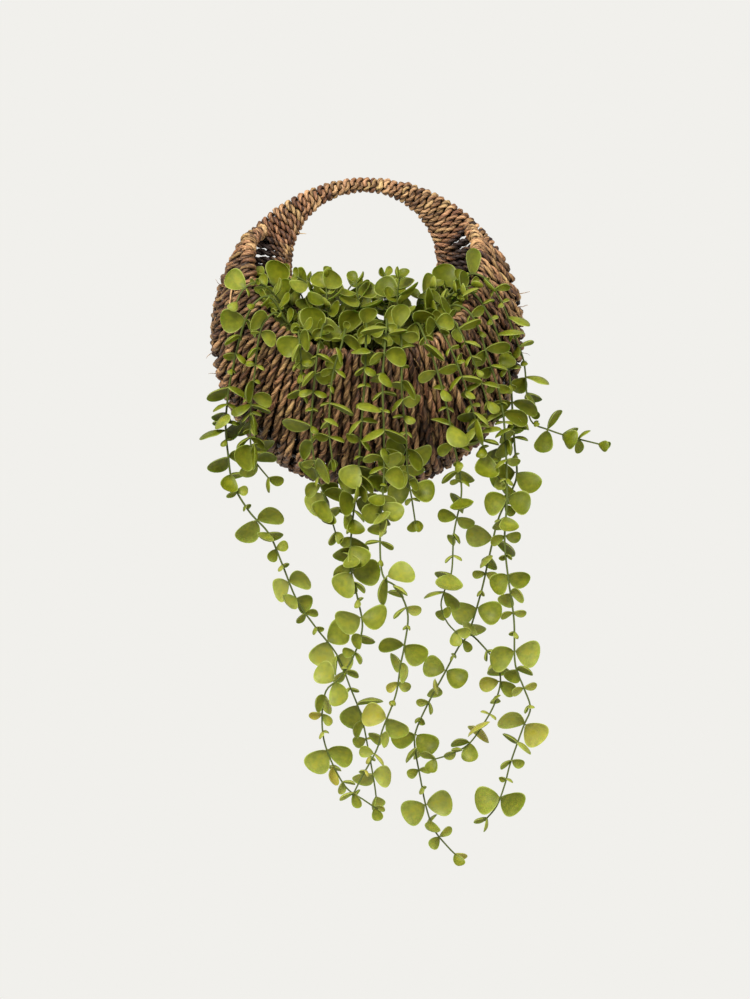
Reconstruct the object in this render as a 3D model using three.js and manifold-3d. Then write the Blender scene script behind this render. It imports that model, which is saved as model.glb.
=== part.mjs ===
// A hanging wall basket wound from twisted seagrass rope, with a trailing plant in its pocket.
// Millimetres, +Z up, the front faces -Y. The origin is the hook point: the middle of the
// underside of the handle. The basket is a flat ring of rope that lies against the wall, with a
// rounded pocket on its lower front. Leafy stems stand in a block in the pocket and spill over it.

import * as THREE from 'three';
import { mergeVertices } from 'three/addons/utils/BufferGeometryUtils.js';
import { ParametricGeometry } from 'three/addons/geometries/ParametricGeometry.js';
import Module from 'manifold-3d';

const wasm = await Module();
wasm.setup();

// Driving dimensions.
const GAP = 0.3; // between solids that touch
const ROPE = 5.5; // diameter of the twisted rope
const WIRE = 2.8; // diameter of the skeleton's wire
const WIRE_SIDES = 4;
const BEAD = ROPE + WIRE / 2; // radius over a wire with one turn of rope round it
const HAND_HOLE = { x: 0, z: -62.9, r: 62.9 }; // the clear hole under the handle
const OUTLINE = { x: 3, z: -125.8, r: 140 }; // the basket's outer edge
const SPOKES = { x: 1.5, z: -96 }; // the point that the ring's turns of rope fan out from
const HAUNCH = 0.307 * Math.PI; // angle from straight up where the pocket's rim leaves the ring
const RIM = { x: 0, z: -61, a: 100.5, b: 90.6, power: 2.3 }; // front rim wire, a rounded oval
const RIM_TOP = { z: -29, y: -15 }; // where the rim wire starts, at the haunches
const RIM_FRONT_Y = -104; // how far the rim's lowest point stands out
const LOW_HOOP = { r: 124.6, y: -44 }; // lower front hoop wire, at its lowest point
const MAT = 4.6; // half the thickness of the pocket's wall of rope, between its wires
const BULGE = 4; // how far that wall bows out between its wires
const RING_MAT = 6.2; // the same half thickness in the ring, at the middle of a turn
const FURROW = 0.87; // how much thinner the rope is between two raised turns
const HANDLE_TURNS = 15; // raised turns, each standing for two or three of the real rope's
const RING_TURNS = 16;
const POCKET_TURNS = 22;
const BLOCK_TOP = -150; // top of the growing block
const BLOCK_BOTTOM = -204;
const FOOT_LEVELS = [-168, -158, -148, -138]; // a stem stands straight up through these
const STEM = 1.4; // radius over the corners of a four-sided stem
const ROOT = 1.2; // half the height of the foot from which a leaf grows out of its stem
const LEAF_SIZES = [23, 18, 13, 9]; // lengths of the pairs of leaves, in turn along a stem
const LEAF_SHAPES = [0.92, 0.86, 0.76, 0.64]; // their widths over their lengths
const SMALLEST_LEAF = 9.5; // shorter leaves than this are left off the solids
const LEAF_THICK = 1.4; // at the middle of a blade
const LEAF_CUP = 0.09; // depth of the blade's hollow over its length
const BIG_LEAF = 15; // longer leaves than this have a blunt tip
const TURN_OUT = 0.6; // how far a leaf rolls towards facing the front, from 0 to 1
const PROBE = 2.3; // radius of the points that a leaf is tried with

const v3 = (x, y, z) => new THREE.Vector3(x, y, z);

// Solids.

// A closed three.js geometry as a solid with its faces pointing out.
function solid(geometry) {
  geometry.deleteAttribute('normal');
  geometry.deleteAttribute('uv');
  const merged = mergeVertices(geometry);
  const place = merged.getAttribute('position').array;
  const corners = [];
  let volume = 0;
  for (let i = 0; i < merged.index.count; i += 3) {
    const [a, b, c] = merged.index.array.slice(i, i + 3);
    if (a === b || b === c || c === a) continue;
    corners.push([a, b, c]);
    const [p, q, r] = [a, b, c].map((k) => v3(...place.slice(3 * k, 3 * k + 3)));
    volume += p.dot(q.cross(r));
  }
  const outward = volume > 0 ? corners : corners.map(([a, b, c]) => [a, c, b]);
  return new wasm.Manifold(new wasm.Mesh({
    numProp: 3,
    vertProperties: new Float32Array(place),
    triVerts: new Uint32Array(outward.flat()),
  }));
}

// A skin over rings with the same number of points, closed by a fan at each end.
function loft(rings) {
  const middle = (ring) => ring.reduce((sum, p) => sum.add(p), v3(0, 0, 0)).divideScalar(ring.length);
  const rows = [[middle(rings[0])], ...rings, [middle(rings.at(-1))]];
  const around = rings[0].length;
  const at = (u, v, target) => {
    const row = rows[Math.round(v * (rows.length - 1))];
    target.copy(row[Math.round(u * around) % row.length]);
  };
  return solid(new ParametricGeometry(at, around, rows.length - 1));
}

// A tube with a few flat sides along a curve.
function tube(curve, radius, sides, steps) {
  const corner = (i) => {
    const turn = (2 * Math.PI * i) / sides;
    return new THREE.Vector2(radius * Math.cos(turn), radius * Math.sin(turn));
  };
  const section = new THREE.Shape(Array.from({ length: sides }, (_, i) => corner(i)));
  return solid(new THREE.ExtrudeGeometry(section, { steps, extrudePath: curve }));
}

// A smooth curve through points.
function curveThrough(points) {
  return new THREE.CatmullRomCurve3(points, false, 'catmullrom', 0.5);
}

const basket = new THREE.Group();

function addPiece(name, shape, color, roughness, metalness = 0) {
  const found = shape.getMesh();
  const geometry = new THREE.BufferGeometry();
  geometry.setAttribute('position', new THREE.BufferAttribute(found.vertProperties, 3));
  geometry.setIndex(new THREE.BufferAttribute(found.triVerts, 1));
  geometry.computeVertexNormals();
  const piece = new THREE.Mesh(
    geometry,
    new THREE.MeshStandardMaterial({ color, roughness, metalness }),
  );
  piece.name = name;
  basket.add(piece);
}

// The ring: where a turn of rope crosses the inner and the outer hoop. The angle is measured
// from straight up, clockwise as seen from the front.

function onCircle(angle, circle, radius) {
  const along = [Math.sin(angle), Math.cos(angle)];
  const from = [SPOKES.x - circle.x, SPOKES.z - circle.z];
  const half = from[0] * along[0] + from[1] * along[1];
  const reach = Math.sqrt(half * half - from[0] ** 2 - from[1] ** 2 + radius ** 2) - half;
  return v3(SPOKES.x + reach * along[0], 0, SPOKES.z + reach * along[1]);
}

const innerHoop = (angle) => onCircle(angle, HAND_HOLE, HAND_HOLE.r + BEAD);
const outerHoop = (angle) => onCircle(angle, OUTLINE, OUTLINE.r - BEAD);

// One cross-section of the ring. Its back is flat, against the wall.
function ringSection(angle, thin) {
  const inner = innerHoop(angle);
  const outer = outerHoop(angle);
  const along = v3(Math.sin(angle), 0, Math.cos(angle));
  const middle = inner.clone().lerp(outer, 0.5);
  const offset = (point, out, forward) => point.clone().addScaledVector(along, out).setY(-forward);
  return [
    offset(inner, -BEAD * thin, 0),
    offset(inner, -BEAD * 0.45, BEAD * thin),
    offset(middle, 0, RING_MAT * thin),
    offset(outer, BEAD * 0.45, BEAD * thin),
    offset(outer, BEAD * thin, 0),
    offset(outer, BEAD * 0.6, -BEAD),
    offset(inner, -BEAD * 0.6, -BEAD),
  ];
}

// A stretch of the ring between two angles, with its turns of rope as ridges.
function ringStretch(from, to, turns) {
  const columns = 2 * turns;
  const rings = [];
  for (let i = 0; i <= columns; i++) {
    rings.push(ringSection(from + ((to - from) * i) / columns, i % 2 ? 1 : FURROW));
  }
  return loft(rings);
}

// The pocket: its rim wire and its lower front hoop, each as points at even steps from the left
// haunch round the bottom to the right haunch. A turn of rope joins points with the same number.

function evenly(line, count) {
  const reach = [0];
  for (let i = 1; i < line.length; i++) reach.push(reach[i - 1] + line[i].distanceTo(line[i - 1]));
  const points = [];
  for (let i = 0, k = 0; i < count; i++) {
    const want = (reach.at(-1) * i) / (count - 1);
    while (k < line.length - 2 && reach[k + 1] < want) k++;
    const part = (want - reach[k]) / (reach[k + 1] - reach[k]);
    points.push(line[k].clone().lerp(line[k + 1], part));
  }
  return points;
}

function rimLine(count) {
  const rise = ((RIM_TOP.z - RIM.z) / RIM.b) ** (RIM.power / 2);
  const start = Math.asin(rise);
  const flat = [];
  for (let i = 0; i <= 400; i++) {
    const turn = Math.PI + start - ((Math.PI + 2 * start) * i) / 400;
    const [c, s] = [Math.cos(turn), Math.sin(turn)];
    const x = RIM.x + RIM.a * Math.sign(c) * Math.abs(c) ** (2 / RIM.power);
    flat.push(v3(x, 0, RIM.z - RIM.b * Math.sign(s) * Math.abs(s) ** (2 / RIM.power)));
  }
  const lowest = RIM.z - RIM.b;
  return evenly(flat, count).map((p) => {
    const down = Math.max(0, (RIM_TOP.z - p.z) / (RIM_TOP.z - lowest));
    return p.setY(RIM_TOP.y + (RIM_FRONT_Y - RIM_TOP.y) * down ** 0.9);
  });
}

function lowHoopLine(count) {
  const points = [];
  for (let i = 0; i < count; i++) {
    const share = (2 * i) / (count - 1) - 1;
    const turn = share * (Math.PI - 0.256 * Math.PI);
    const drop = 1 - share * share;
    const radius = OUTLINE.r - BEAD - (OUTLINE.r - BEAD - LOW_HOOP.r) * drop;
    const y = RIM_TOP.y + (LOW_HOOP.y - RIM_TOP.y) * drop;
    points.push(v3(OUTLINE.x + radius * Math.sin(turn), y, OUTLINE.z - radius * Math.cos(turn)));
  }
  return points;
}

const COLUMNS = 2 * POCKET_TURNS + 1;
const rim = rimLine(COLUMNS);
const lowHoop = lowHoopLine(COLUMNS);
const END = 2; // columns left off at each haunch, where the rim is a bare roll of rope

// The pocket's wall bows out between its rim and its lower hoop.
function wallNormal(column) {
  const across = lowHoop[column].clone().sub(rim[column]).normalize();
  const before = rim[Math.max(0, column - 1)];
  const after = rim[Math.min(COLUMNS - 1, column + 1)];
  return after.clone().sub(before).cross(across).normalize().negate();
}

function onWall(column, share) {
  const out = BULGE * Math.sin(Math.PI * share);
  return rim[column].clone().lerp(lowHoop[column], share).addScaledVector(wallNormal(column), out);
}

function outerBehind(column) {
  const low = lowHoop[column];
  const away = v3(low.x - OUTLINE.x, 0, low.z - OUTLINE.z).setLength(OUTLINE.r - BEAD);
  return v3(OUTLINE.x + away.x, -(BEAD + GAP), OUTLINE.z + away.z);
}

function pocketSection(column) {
  const thin = column % 2 ? 1 : FURROW;
  const normal = wallNormal(column);
  const across = lowHoop[column].clone().sub(rim[column]).normalize();
  const outward = v3(lowHoop[column].x - OUTLINE.x, 0, lowHoop[column].z - OUTLINE.z).normalize();
  const corner = normal.clone().add(outward).normalize();
  const back = outerBehind(column);
  const roll = (down, out) => rim[column].clone()
    .addScaledVector(across, down * BEAD).addScaledVector(normal, out * BEAD * thin);
  return [
    roll(-0.95, 0),
    roll(-0.5, 0.85),
    roll(0.5, 0.85),
    onWall(column, 0.5).addScaledVector(normal, MAT * thin),
    lowHoop[column].clone().addScaledVector(corner, BEAD * thin),
    back.clone().addScaledVector(outward, MAT * thin),
    back.clone().addScaledVector(outward, -MAT),
    lowHoop[column].clone().addScaledVector(corner, -BEAD * 0.8),
    onWall(column, 0.5).addScaledVector(normal, -MAT),
    roll(0.5, -0.85),
    roll(-0.5, -0.85),
  ];
}

function pocketWall() {
  const rings = [];
  for (let column = END; column < COLUMNS - END; column++) rings.push(pocketSection(column));
  return loft(rings);
}

// The bare rolls of rope that carry the rim from the ring's haunches to the pocket's wall.
function haunchRoll(side) {
  const end = side < 0 ? END : COLUMNS - 1 - END;
  const start = side < 0 ? 0 : COLUMNS - 1;
  const stop = rim[end].clone().lerp(rim[end + side], 0.45);
  const root = outerHoop(side * (HAUNCH - 0.1)).setY(-5);
  return tube(curveThrough([root, rim[start], stop]), BEAD * 0.92, 7, 4);
}

// The skeleton of welded wire. Its tunnels in the rope are the same shapes, a little thicker.

function hoopWire(circle, radius, thick, steps) {
  const ring = new THREE.TorusGeometry(radius, thick, WIRE_SIDES, steps);
  ring.rotateX(Math.PI / 2);
  ring.translate(circle.x, 0, circle.z);
  return solid(ring);
}

function skeleton(thick) {
  const rimPath = [outerHoop(-HAUNCH), ...rim.filter((_, i) => i % 3 === 0), outerHoop(HAUNCH)];
  const first = 4;
  const last = COLUMNS - 1 - first;
  const hoopPath = [
    outerBehind(first).setY(0),
    ...lowHoop.filter((_, i) => i > first && i < last && i % 4 === 0),
    outerBehind(last).setY(0),
  ];
  const wires = [
    hoopWire(OUTLINE, OUTLINE.r - BEAD, thick, 28),
    hoopWire(HAND_HOLE, HAND_HOLE.r + BEAD, thick, 20),
    tube(curveThrough(rimPath), thick, WIRE_SIDES, 20),
    tube(curveThrough(hoopPath), thick, WIRE_SIDES, 17),
  ];
  for (const share of [0.25, 0.5, 0.75]) {
    const column = Math.round(share * (COLUMNS - 1));
    const front = [rim[column], onWall(column, 0.5), lowHoop[column], outerBehind(column).setY(0)];
    wires.push(tube(curveThrough(front), thick, WIRE_SIDES, 5));
  }
  wires.push(tube(new THREE.LineCurve3(innerHoop(Math.PI), outerHoop(Math.PI)), thick, WIRE_SIDES, 1));
  return wasm.Manifold.union(wires);
}

const tunnels = skeleton(WIRE / 2 + GAP / Math.cos(Math.PI / WIRE_SIDES));
const seam = GAP / 2 / 90; // half the gap between the handle's rope and the ring's, as an angle
const handle = ringStretch(-HAUNCH + seam, HAUNCH - seam, HANDLE_TURNS)
  .add(haunchRoll(-1))
  .add(haunchRoll(1));
const ring = ringStretch(HAUNCH + seam, 2 * Math.PI - HAUNCH - seam, RING_TURNS);

addPiece('wire_frame', skeleton(WIRE / 2), '#5b5d5c', 0.5, 0.9);
addPiece('rope_handle', handle.subtract(tunnels), '#9a7040', 0.85);
addPiece('rope_back_panel', ring.subtract(tunnels), '#6b4a30', 0.9);
addPiece('rope_front_panel', pocketWall().subtract(tunnels), '#7b5233', 0.88);

// The leafy stems. Each route is a list of points chosen by eye: up out of the growing block,
// over the rim where the stem trails, and down the front or through the air.
// pitch: between two pairs of leaves; bare: steps without leaves at the foot; phase: which of the
// leaf sizes comes first; aim: the angle of the first pair round the stem, in degrees.

const STEMS = [
  {
    name: 'stem_left_long', pitch: 15.5, bare: 4, phase: 1, aim: 20,
    foot: [-56, -58],
    route: [
      [-68, -72, -116], [-80, -83, -99], [-92, -88, -104], [-101, -85, -120], [-107, -79, -139],
      [-112, -72, -158], [-116, -66, -178], [-119, -60, -207], [-117, -56, -234],
      [-113, -54, -258], [-99, -54, -282], [-82, -56, -301], [-71, -56, -326], [-58, -56, -358],
      [-43, -56, -380], [-23, -56, -406], [-12, -56, -433], [-2, -56, -459], [4, -56, -488],
      [9, -56, -516], [11, -56, -531],
    ],
  },
  {
    name: 'stem_left_short', pitch: 14, bare: 4, phase: 2, aim: 60,
    foot: [-44, -60],
    route: [
      [-62, -78, -124], [-74, -92, -113], [-85, -99, -123], [-90, -97, -142], [-92, -90, -160],
      [-95, -84, -180], [-97, -77, -200], [-97, -73, -221], [-94, -73, -237], [-80, -75, -255],
    ],
  },
  {
    name: 'stem_front_twig', pitch: 11, bare: 5, phase: 2, aim: 0,
    foot: [-38, -74],
    route: [
      [-54, -100, -126], [-53, -117, -144], [-52, -116, -163], [-54, -110, -181],
    ],
  },
  {
    name: 'stem_front_left', pitch: 14, bare: 4, phase: 3, aim: 80,
    foot: [-20, -76],
    route: [
      [-15, -102, -126], [-19, -123, -145], [-24, -124, -160], [-27, -121, -177],
      [-29, -112, -211], [-26, -108, -240],
    ],
  },
  {
    name: 'stem_bottom_left', pitch: 15, bare: 5, phase: 2, aim: 10,
    foot: [-28, -64],
    route: [
      [-33, -98, -123], [-37, -122, -141], [-41, -121, -171], [-44, -110, -213],
      [-40, -102, -247], [-32, -98, -272], [-23, -98, -302],
    ],
  },
  {
    name: 'stem_centre_long', pitch: 15.5, bare: 5, phase: 0, aim: 40,
    foot: [-6, -72],
    route: [
      [2, -100, -123], [2, -124, -143], [1, -125, -172], [-2, -117, -213], [-5, -108, -255],
      [-10, -104, -297], [-11, -104, -328], [-5, -104, -355], [-1, -104, -380], [-9, -104, -405],
      [-21, -104, -423], [-32, -104, -434], [-35, -104, -459], [-31, -104, -483],
      [-16, -104, -513], [0, -104, -525], [12, -104, -533],
    ],
  },
  {
    name: 'stem_centre_fall', pitch: 16, bare: 5, phase: 2, aim: 0,
    foot: [8, -64],
    route: [
      [19, -98, -119], [18, -125, -141], [16, -127, -172], [17, -121, -213], [17, -122, -255],
      [14, -128, -297], [16, -134, -334], [28, -134, -345], [37, -134, -367], [34, -134, -394],
      [31, -134, -409], [27, -134, -434], [16, -134, -463], [11, -134, -480], [-1, -134, -502],
      [-9, -134, -518],
    ],
  },
  {
    name: 'stem_front_right', pitch: 14, bare: 4, phase: 0, aim: 70,
    foot: [16, -76],
    route: [
      [29, -102, -125], [32, -122, -143], [32, -122, -172], [33, -117, -193], [36, -109, -216],
      [37, -101, -247], [41, -98, -272], [44, -98, -292],
    ],
  },
  {
    name: 'stem_right_fall', pitch: 16, bare: 5, phase: 3, aim: 30,
    foot: [30, -68],
    route: [
      [44, -94, -122], [51, -113, -134], [60, -115, -158], [69, -106, -188], [76, -94, -222],
      [82, -88, -250], [83, -86, -270], [77, -85, -300], [75, -84, -333], [69, -84, -349],
      [66, -84, -362], [71, -84, -376], [80, -84, -386],
    ],
  },
  {
    name: 'stem_right_spray', pitch: 13.5, bare: 5, phase: 1, aim: 50,
    foot: [40, -72],
    route: [
      [56, -92, -120], [66, -106, -130], [76, -106, -150], [86, -99, -176], [95, -90, -202],
      [102, -81, -226], [108, -75, -240], [117, -74, -255],
    ],
  },
  {
    name: 'stem_right_bright', pitch: 13, bare: 5, phase: 2, aim: 20,
    foot: [48, -60],
    route: [
      [61, -76, -124], [66, -88, -116], [74, -100, -118], [83, -101, -132], [92, -96, -152],
      [100, -88, -172], [106, -82, -190],
    ],
  },
  {
    name: 'stem_right_long', pitch: 15.5, bare: 5, phase: 3, aim: 10,
    foot: [50, -28],
    route: [
      [66, -42, -120], [75, -58, -105], [82, -73, -95], [88, -80, -92], [98, -81, -100],
      [107, -75, -114], [115, -68, -130], [122, -60, -150], [127, -54, -172], [129, -49, -200],
      [131, -45, -226], [133, -42, -250], [128, -42, -265], [117, -44, -288], [109, -46, -320],
      [102, -46, -351], [91, -46, -387], [82, -46, -400], [68, -46, -426], [56, -46, -448],
      [46, -46, -470], [44, -46, -484], [49, -46, -513], [54, -46, -538], [61, -46, -558],
      [73, -46, -573], [81, -46, -581],
    ],
    branch: [
      [91, -46, -387], [100, -50, -395], [113, -56, -411], [118, -58, -427], [113, -60, -447],
      [103, -62, -465], [90, -66, -482], [74, -72, -490], [59, -78, -494],
    ],
  },
  {
    name: 'stem_right_trail', pitch: 16.5, bare: 6, phase: 2, aim: 45,
    foot: [54, -46],
    route: [
      [65, -62, -122], [71, -76, -112], [77, -87, -106], [89, -93, -112], [98, -89, -127],
      [105, -82, -148], [113, -76, -170], [119, -74, -195], [121, -77, -220], [122, -82, -246],
      [122, -86, -274], [120, -87, -306], [123, -87, -338], [128, -86, -374], [129, -86, -411],
      [136, -86, -431], [142, -86, -449], [136, -86, -465], [125, -86, -496], [120, -86, -515],
      [113, -86, -533], [103, -86, -545],
    ],
  },
  {
    name: 'stem_far_right', pitch: 14, bare: 7, phase: 3, aim: 20,
    foot: [60, -16],
    route: [
      [80, -32, -108], [86, -51, -90], [91, -65, -78], [103, -70, -81], [113, -64, -92],
      [122, -57, -108], [131, -51, -131], [139, -46, -153], [142, -42, -185], [146, -40, -204],
      [161, -39, -211], [179, -41, -217], [206, -45, -224],
    ],
  },
  {
    name: 'stem_top_1', pitch: 11, bare: 4, phase: 0, aim: 0,
    foot: [-58, -22],
    route: [
      [-57, -32, -113], [-68, -35, -97], [-79, -37, -85], [-89, -38, -76],
    ],
  },
  {
    name: 'stem_top_2', pitch: 11, bare: 4, phase: 1, aim: 40,
    foot: [-42, -18],
    route: [
      [-47, -24, -116], [-52, -27, -99], [-60, -31, -84], [-68, -34, -77],
    ],
  },
  {
    name: 'stem_top_3', pitch: 11, bare: 4, phase: 2, aim: 70,
    foot: [-52, -40],
    route: [
      [-64, -54, -114], [-79, -66, -93], [-92, -77, -86], [-103, -82, -93], [-109, -83, -105],
    ],
  },
  {
    name: 'stem_top_4', pitch: 11, bare: 4, phase: 3, aim: 20,
    foot: [-33, -38],
    route: [
      [-38, -46, -116], [-40, -52, -99], [-48, -56, -86], [-58, -58, -79],
    ],
  },
  {
    name: 'stem_top_5', pitch: 11, bare: 4, phase: 0, aim: 90,
    foot: [-20, -52],
    route: [
      [-28, -64, -124], [-31, -72, -107], [-32, -74, -91], [-31, -76, -80],
    ],
  },
  {
    name: 'stem_top_6', pitch: 11, bare: 4, phase: 1, aim: 50,
    foot: [-12, -24],
    route: [
      [-12, -32, -124], [-14, -36, -108], [-16, -38, -94], [-10, -40, -84],
    ],
  },
  {
    name: 'stem_top_7', pitch: 11, bare: 4, phase: 2, aim: 60,
    foot: [1, -46],
    route: [
      [0, -60, -122], [-3, -68, -107], [-6, -72, -94], [-6, -74, -84],
    ],
  },
  {
    name: 'stem_top_8', pitch: 11, bare: 4, phase: 0, aim: 10,
    foot: [14, -26],
    route: [
      [18, -34, -120], [18, -36, -103], [19, -40, -88], [18, -44, -76],
    ],
  },
  {
    name: 'stem_top_9', pitch: 11, bare: 4, phase: 1, aim: 60,
    foot: [20, -50],
    route: [
      [28, -66, -122], [29, -76, -108], [29, -80, -94], [31, -82, -82],
    ],
  },
  {
    name: 'stem_top_10', pitch: 11, bare: 4, phase: 3, aim: 50,
    foot: [33, -30],
    route: [
      [42, -42, -121], [47, -46, -107], [50, -50, -95], [59, -54, -87],
    ],
  },
  {
    name: 'stem_top_11', pitch: 11, bare: 4, phase: 2, aim: 0,
    foot: [36, -52],
    route: [
      [52, -64, -119], [66, -71, -103], [80, -74, -93], [94, -76, -88],
    ],
  },
  {
    name: 'stem_top_12', pitch: 11, bare: 4, phase: 2, aim: 30,
    foot: [40, -14],
    route: [
      [56, -18, -114], [66, -20, -100], [76, -20, -88], [84, -20, -78],
    ],
  },
];

// The same number between 0 and 1 for the same stem, pair and use.
function draw(stem, pair, use) {
  const wave = Math.sin(stem * 12.9898 + pair * 78.233 + use * 37.719) * 43758.5453;
  return wave - Math.floor(wave);
}

// Half the width of a blade over its length, from its base (0) to its tip (180 degrees).
const bladeU = (turn) => (1 - Math.cos(turn)) / 2;
const bladeV = (turn) => 0.435 * Math.sin(turn) * (1 - 0.75 * Math.cos(turn));

// Points that stand for what is already there: place, radius and which stem they belong to.
const crowd = [];
const BASKET = -1;
const LEAVES = -2;

function crowdLine(from, to, count, radius, owner) {
  for (let i = 0; i <= count; i++) {
    const p = from.clone().lerp(to, i / count);
    crowd.push({ x: p.x, y: p.y, z: p.z, radius, owner });
  }
}

function crowdBasket() {
  for (let column = 0; column < COLUMNS; column++) {
    for (let i = 0; i <= 12; i++) {
      const p = onWall(column, i / 12);
      crowd.push({ x: p.x, y: p.y, z: p.z, radius: i % 12 ? 6.5 : 7.6, owner: BASKET });
    }
    crowdLine(lowHoop[column], outerBehind(column), 4, 6.5, BASKET);
  }
  for (let i = 0; i < 90; i++) {
    const angle = (2 * Math.PI * i) / 90;
    crowdLine(innerHoop(angle), outerHoop(angle), 10, 7.8, BASKET);
  }
  for (let x = -55; x <= 55; x += 10) {
    crowdLine(v3(x, -12, BLOCK_TOP - 6), v3(x, -82, BLOCK_TOP - 6), 8, 7.5, BASKET);
  }
}

function isFree(probes, owner) {
  for (const p of probes) {
    const inHole = Math.hypot(p.x - HAND_HOLE.x, p.z - HAND_HOLE.z) < HAND_HOLE.r && p.z > -70;
    if (p.y > 3 || inHole) return false;
    for (const c of crowd) {
      if (c.owner === owner) continue;
      const near = c.radius + PROBE;
      if ((c.x - p.x) ** 2 + (c.y - p.y) ** 2 + (c.z - p.z) ** 2 < near * near) return false;
    }
  }
  return true;
}

// The stretches of a stem: its route and its branch, each as evenly spaced points with a pair of
// directions square to each step, carried along without twisting.
function stretches(stem) {
  const foot = FOOT_LEVELS.map((z) => [...stem.foot, z]);
  return [[...foot, ...stem.route], stem.branch].filter(Boolean).map((points, number) => {
    const curve = curveThrough(points.map((p) => v3(...p)));
    const line = curve.getSpacedPoints(Math.round(curve.getLength() / stem.pitch));
    const frames = [];
    let u = v3(-1, 0, 0);
    for (let i = 1; i < line.length; i++) {
      const along = line[i].clone().sub(line[i - 1]).normalize();
      u = u.clone().addScaledVector(along, -u.dot(along)).normalize();
      frames.push({ u, v: along.clone().cross(u), along });
    }
    return { line, frames, bare: number ? 1 : stem.bare };
  });
}

// A direction square to the stem at an angle round it, in degrees.
function outward(frame, degrees) {
  const angle = (degrees * Math.PI) / 180;
  return frame.u.clone().multiplyScalar(Math.cos(angle)).addScaledVector(frame.v, Math.sin(angle));
}

// A leaf: its base, the directions along it, across it and out of its hollow face, and its size.
function leafPose(base, frame, stem, pair, side, turned, shrink, last) {
  const kind = last ? 2 : (pair + stem.phase) % 4;
  const length = LEAF_SIZES[kind] * (0.88 + 0.24 * draw(stem.number, pair, 1)) * shrink;
  const jitter = 24 * (draw(stem.number, pair, 2) - 0.5);
  const out = outward(frame, stem.aim + 90 * pair + 180 * side + jitter + turned);
  const tilt = ((last ? 40 : 42 + 46 * draw(stem.number, pair, 3 + side)) * Math.PI) / 180;
  const axis = out.multiplyScalar(Math.sin(tilt)).addScaledVector(frame.along, Math.cos(tilt));
  const face = frame.along.clone().addScaledVector(axis, -frame.along.dot(axis)).normalize();
  const toFront = Math.atan2(-axis.clone().cross(face).y, -face.y);
  const share = TURN_OUT * (0.4 + draw(stem.number, pair, 7 + side));
  face.applyAxisAngle(axis, share * toFront + 1.3 * (draw(stem.number, pair, 5 + side) - 0.5));
  const across = face.clone().cross(axis);
  return { base, axis, across, face, length, width: length * LEAF_SHAPES[kind] };
}

function onLeaf(leaf, u, v, lift) {
  return leaf.base.clone()
    .addScaledVector(leaf.axis, u * leaf.length)
    .addScaledVector(leaf.across, v * leaf.width)
    .addScaledVector(leaf.face, lift);
}

// Points all over a blade, about 5 mm apart.
function leafProbes(leaf) {
  const rows = Math.max(2, Math.round(leaf.length / 5));
  const probes = [];
  for (let i = 1; i <= rows; i++) {
    const u = i / rows;
    const half = bladeV(Math.acos(1 - 2 * u));
    const columns = Math.floor((half * leaf.width) / 4.5);
    for (let j = -columns; j <= columns; j++) {
      const v = columns ? (half * j) / columns : 0;
      probes.push(onLeaf(leaf, u, v, 0));
    }
  }
  return probes;
}

// How a leaf is tried: turned round the stem by so many degrees, and made so much smaller. A leaf
// that would touch another, the basket or the block is left off if no try is free.
const TRIES = [[0, 1], [30, 1], [-30, 1], [30, 0.8], [-30, 0.8], [0, 0.65]];

function findLeaf(base, frame, stem, pair, side, last) {
  for (const [turned, shrink] of TRIES) {
    const leaf = leafPose(base, frame, stem, pair, side, turned, shrink, last);
    const probes = leafProbes(leaf);
    if (leaf.length < SMALLEST_LEAF || !isFree(probes, stem.number)) continue;
    for (const p of probes) crowd.push({ x: p.x, y: p.y, z: p.z, radius: PROBE, owner: LEAVES });
    return leaf;
  }
  return null;
}

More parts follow.
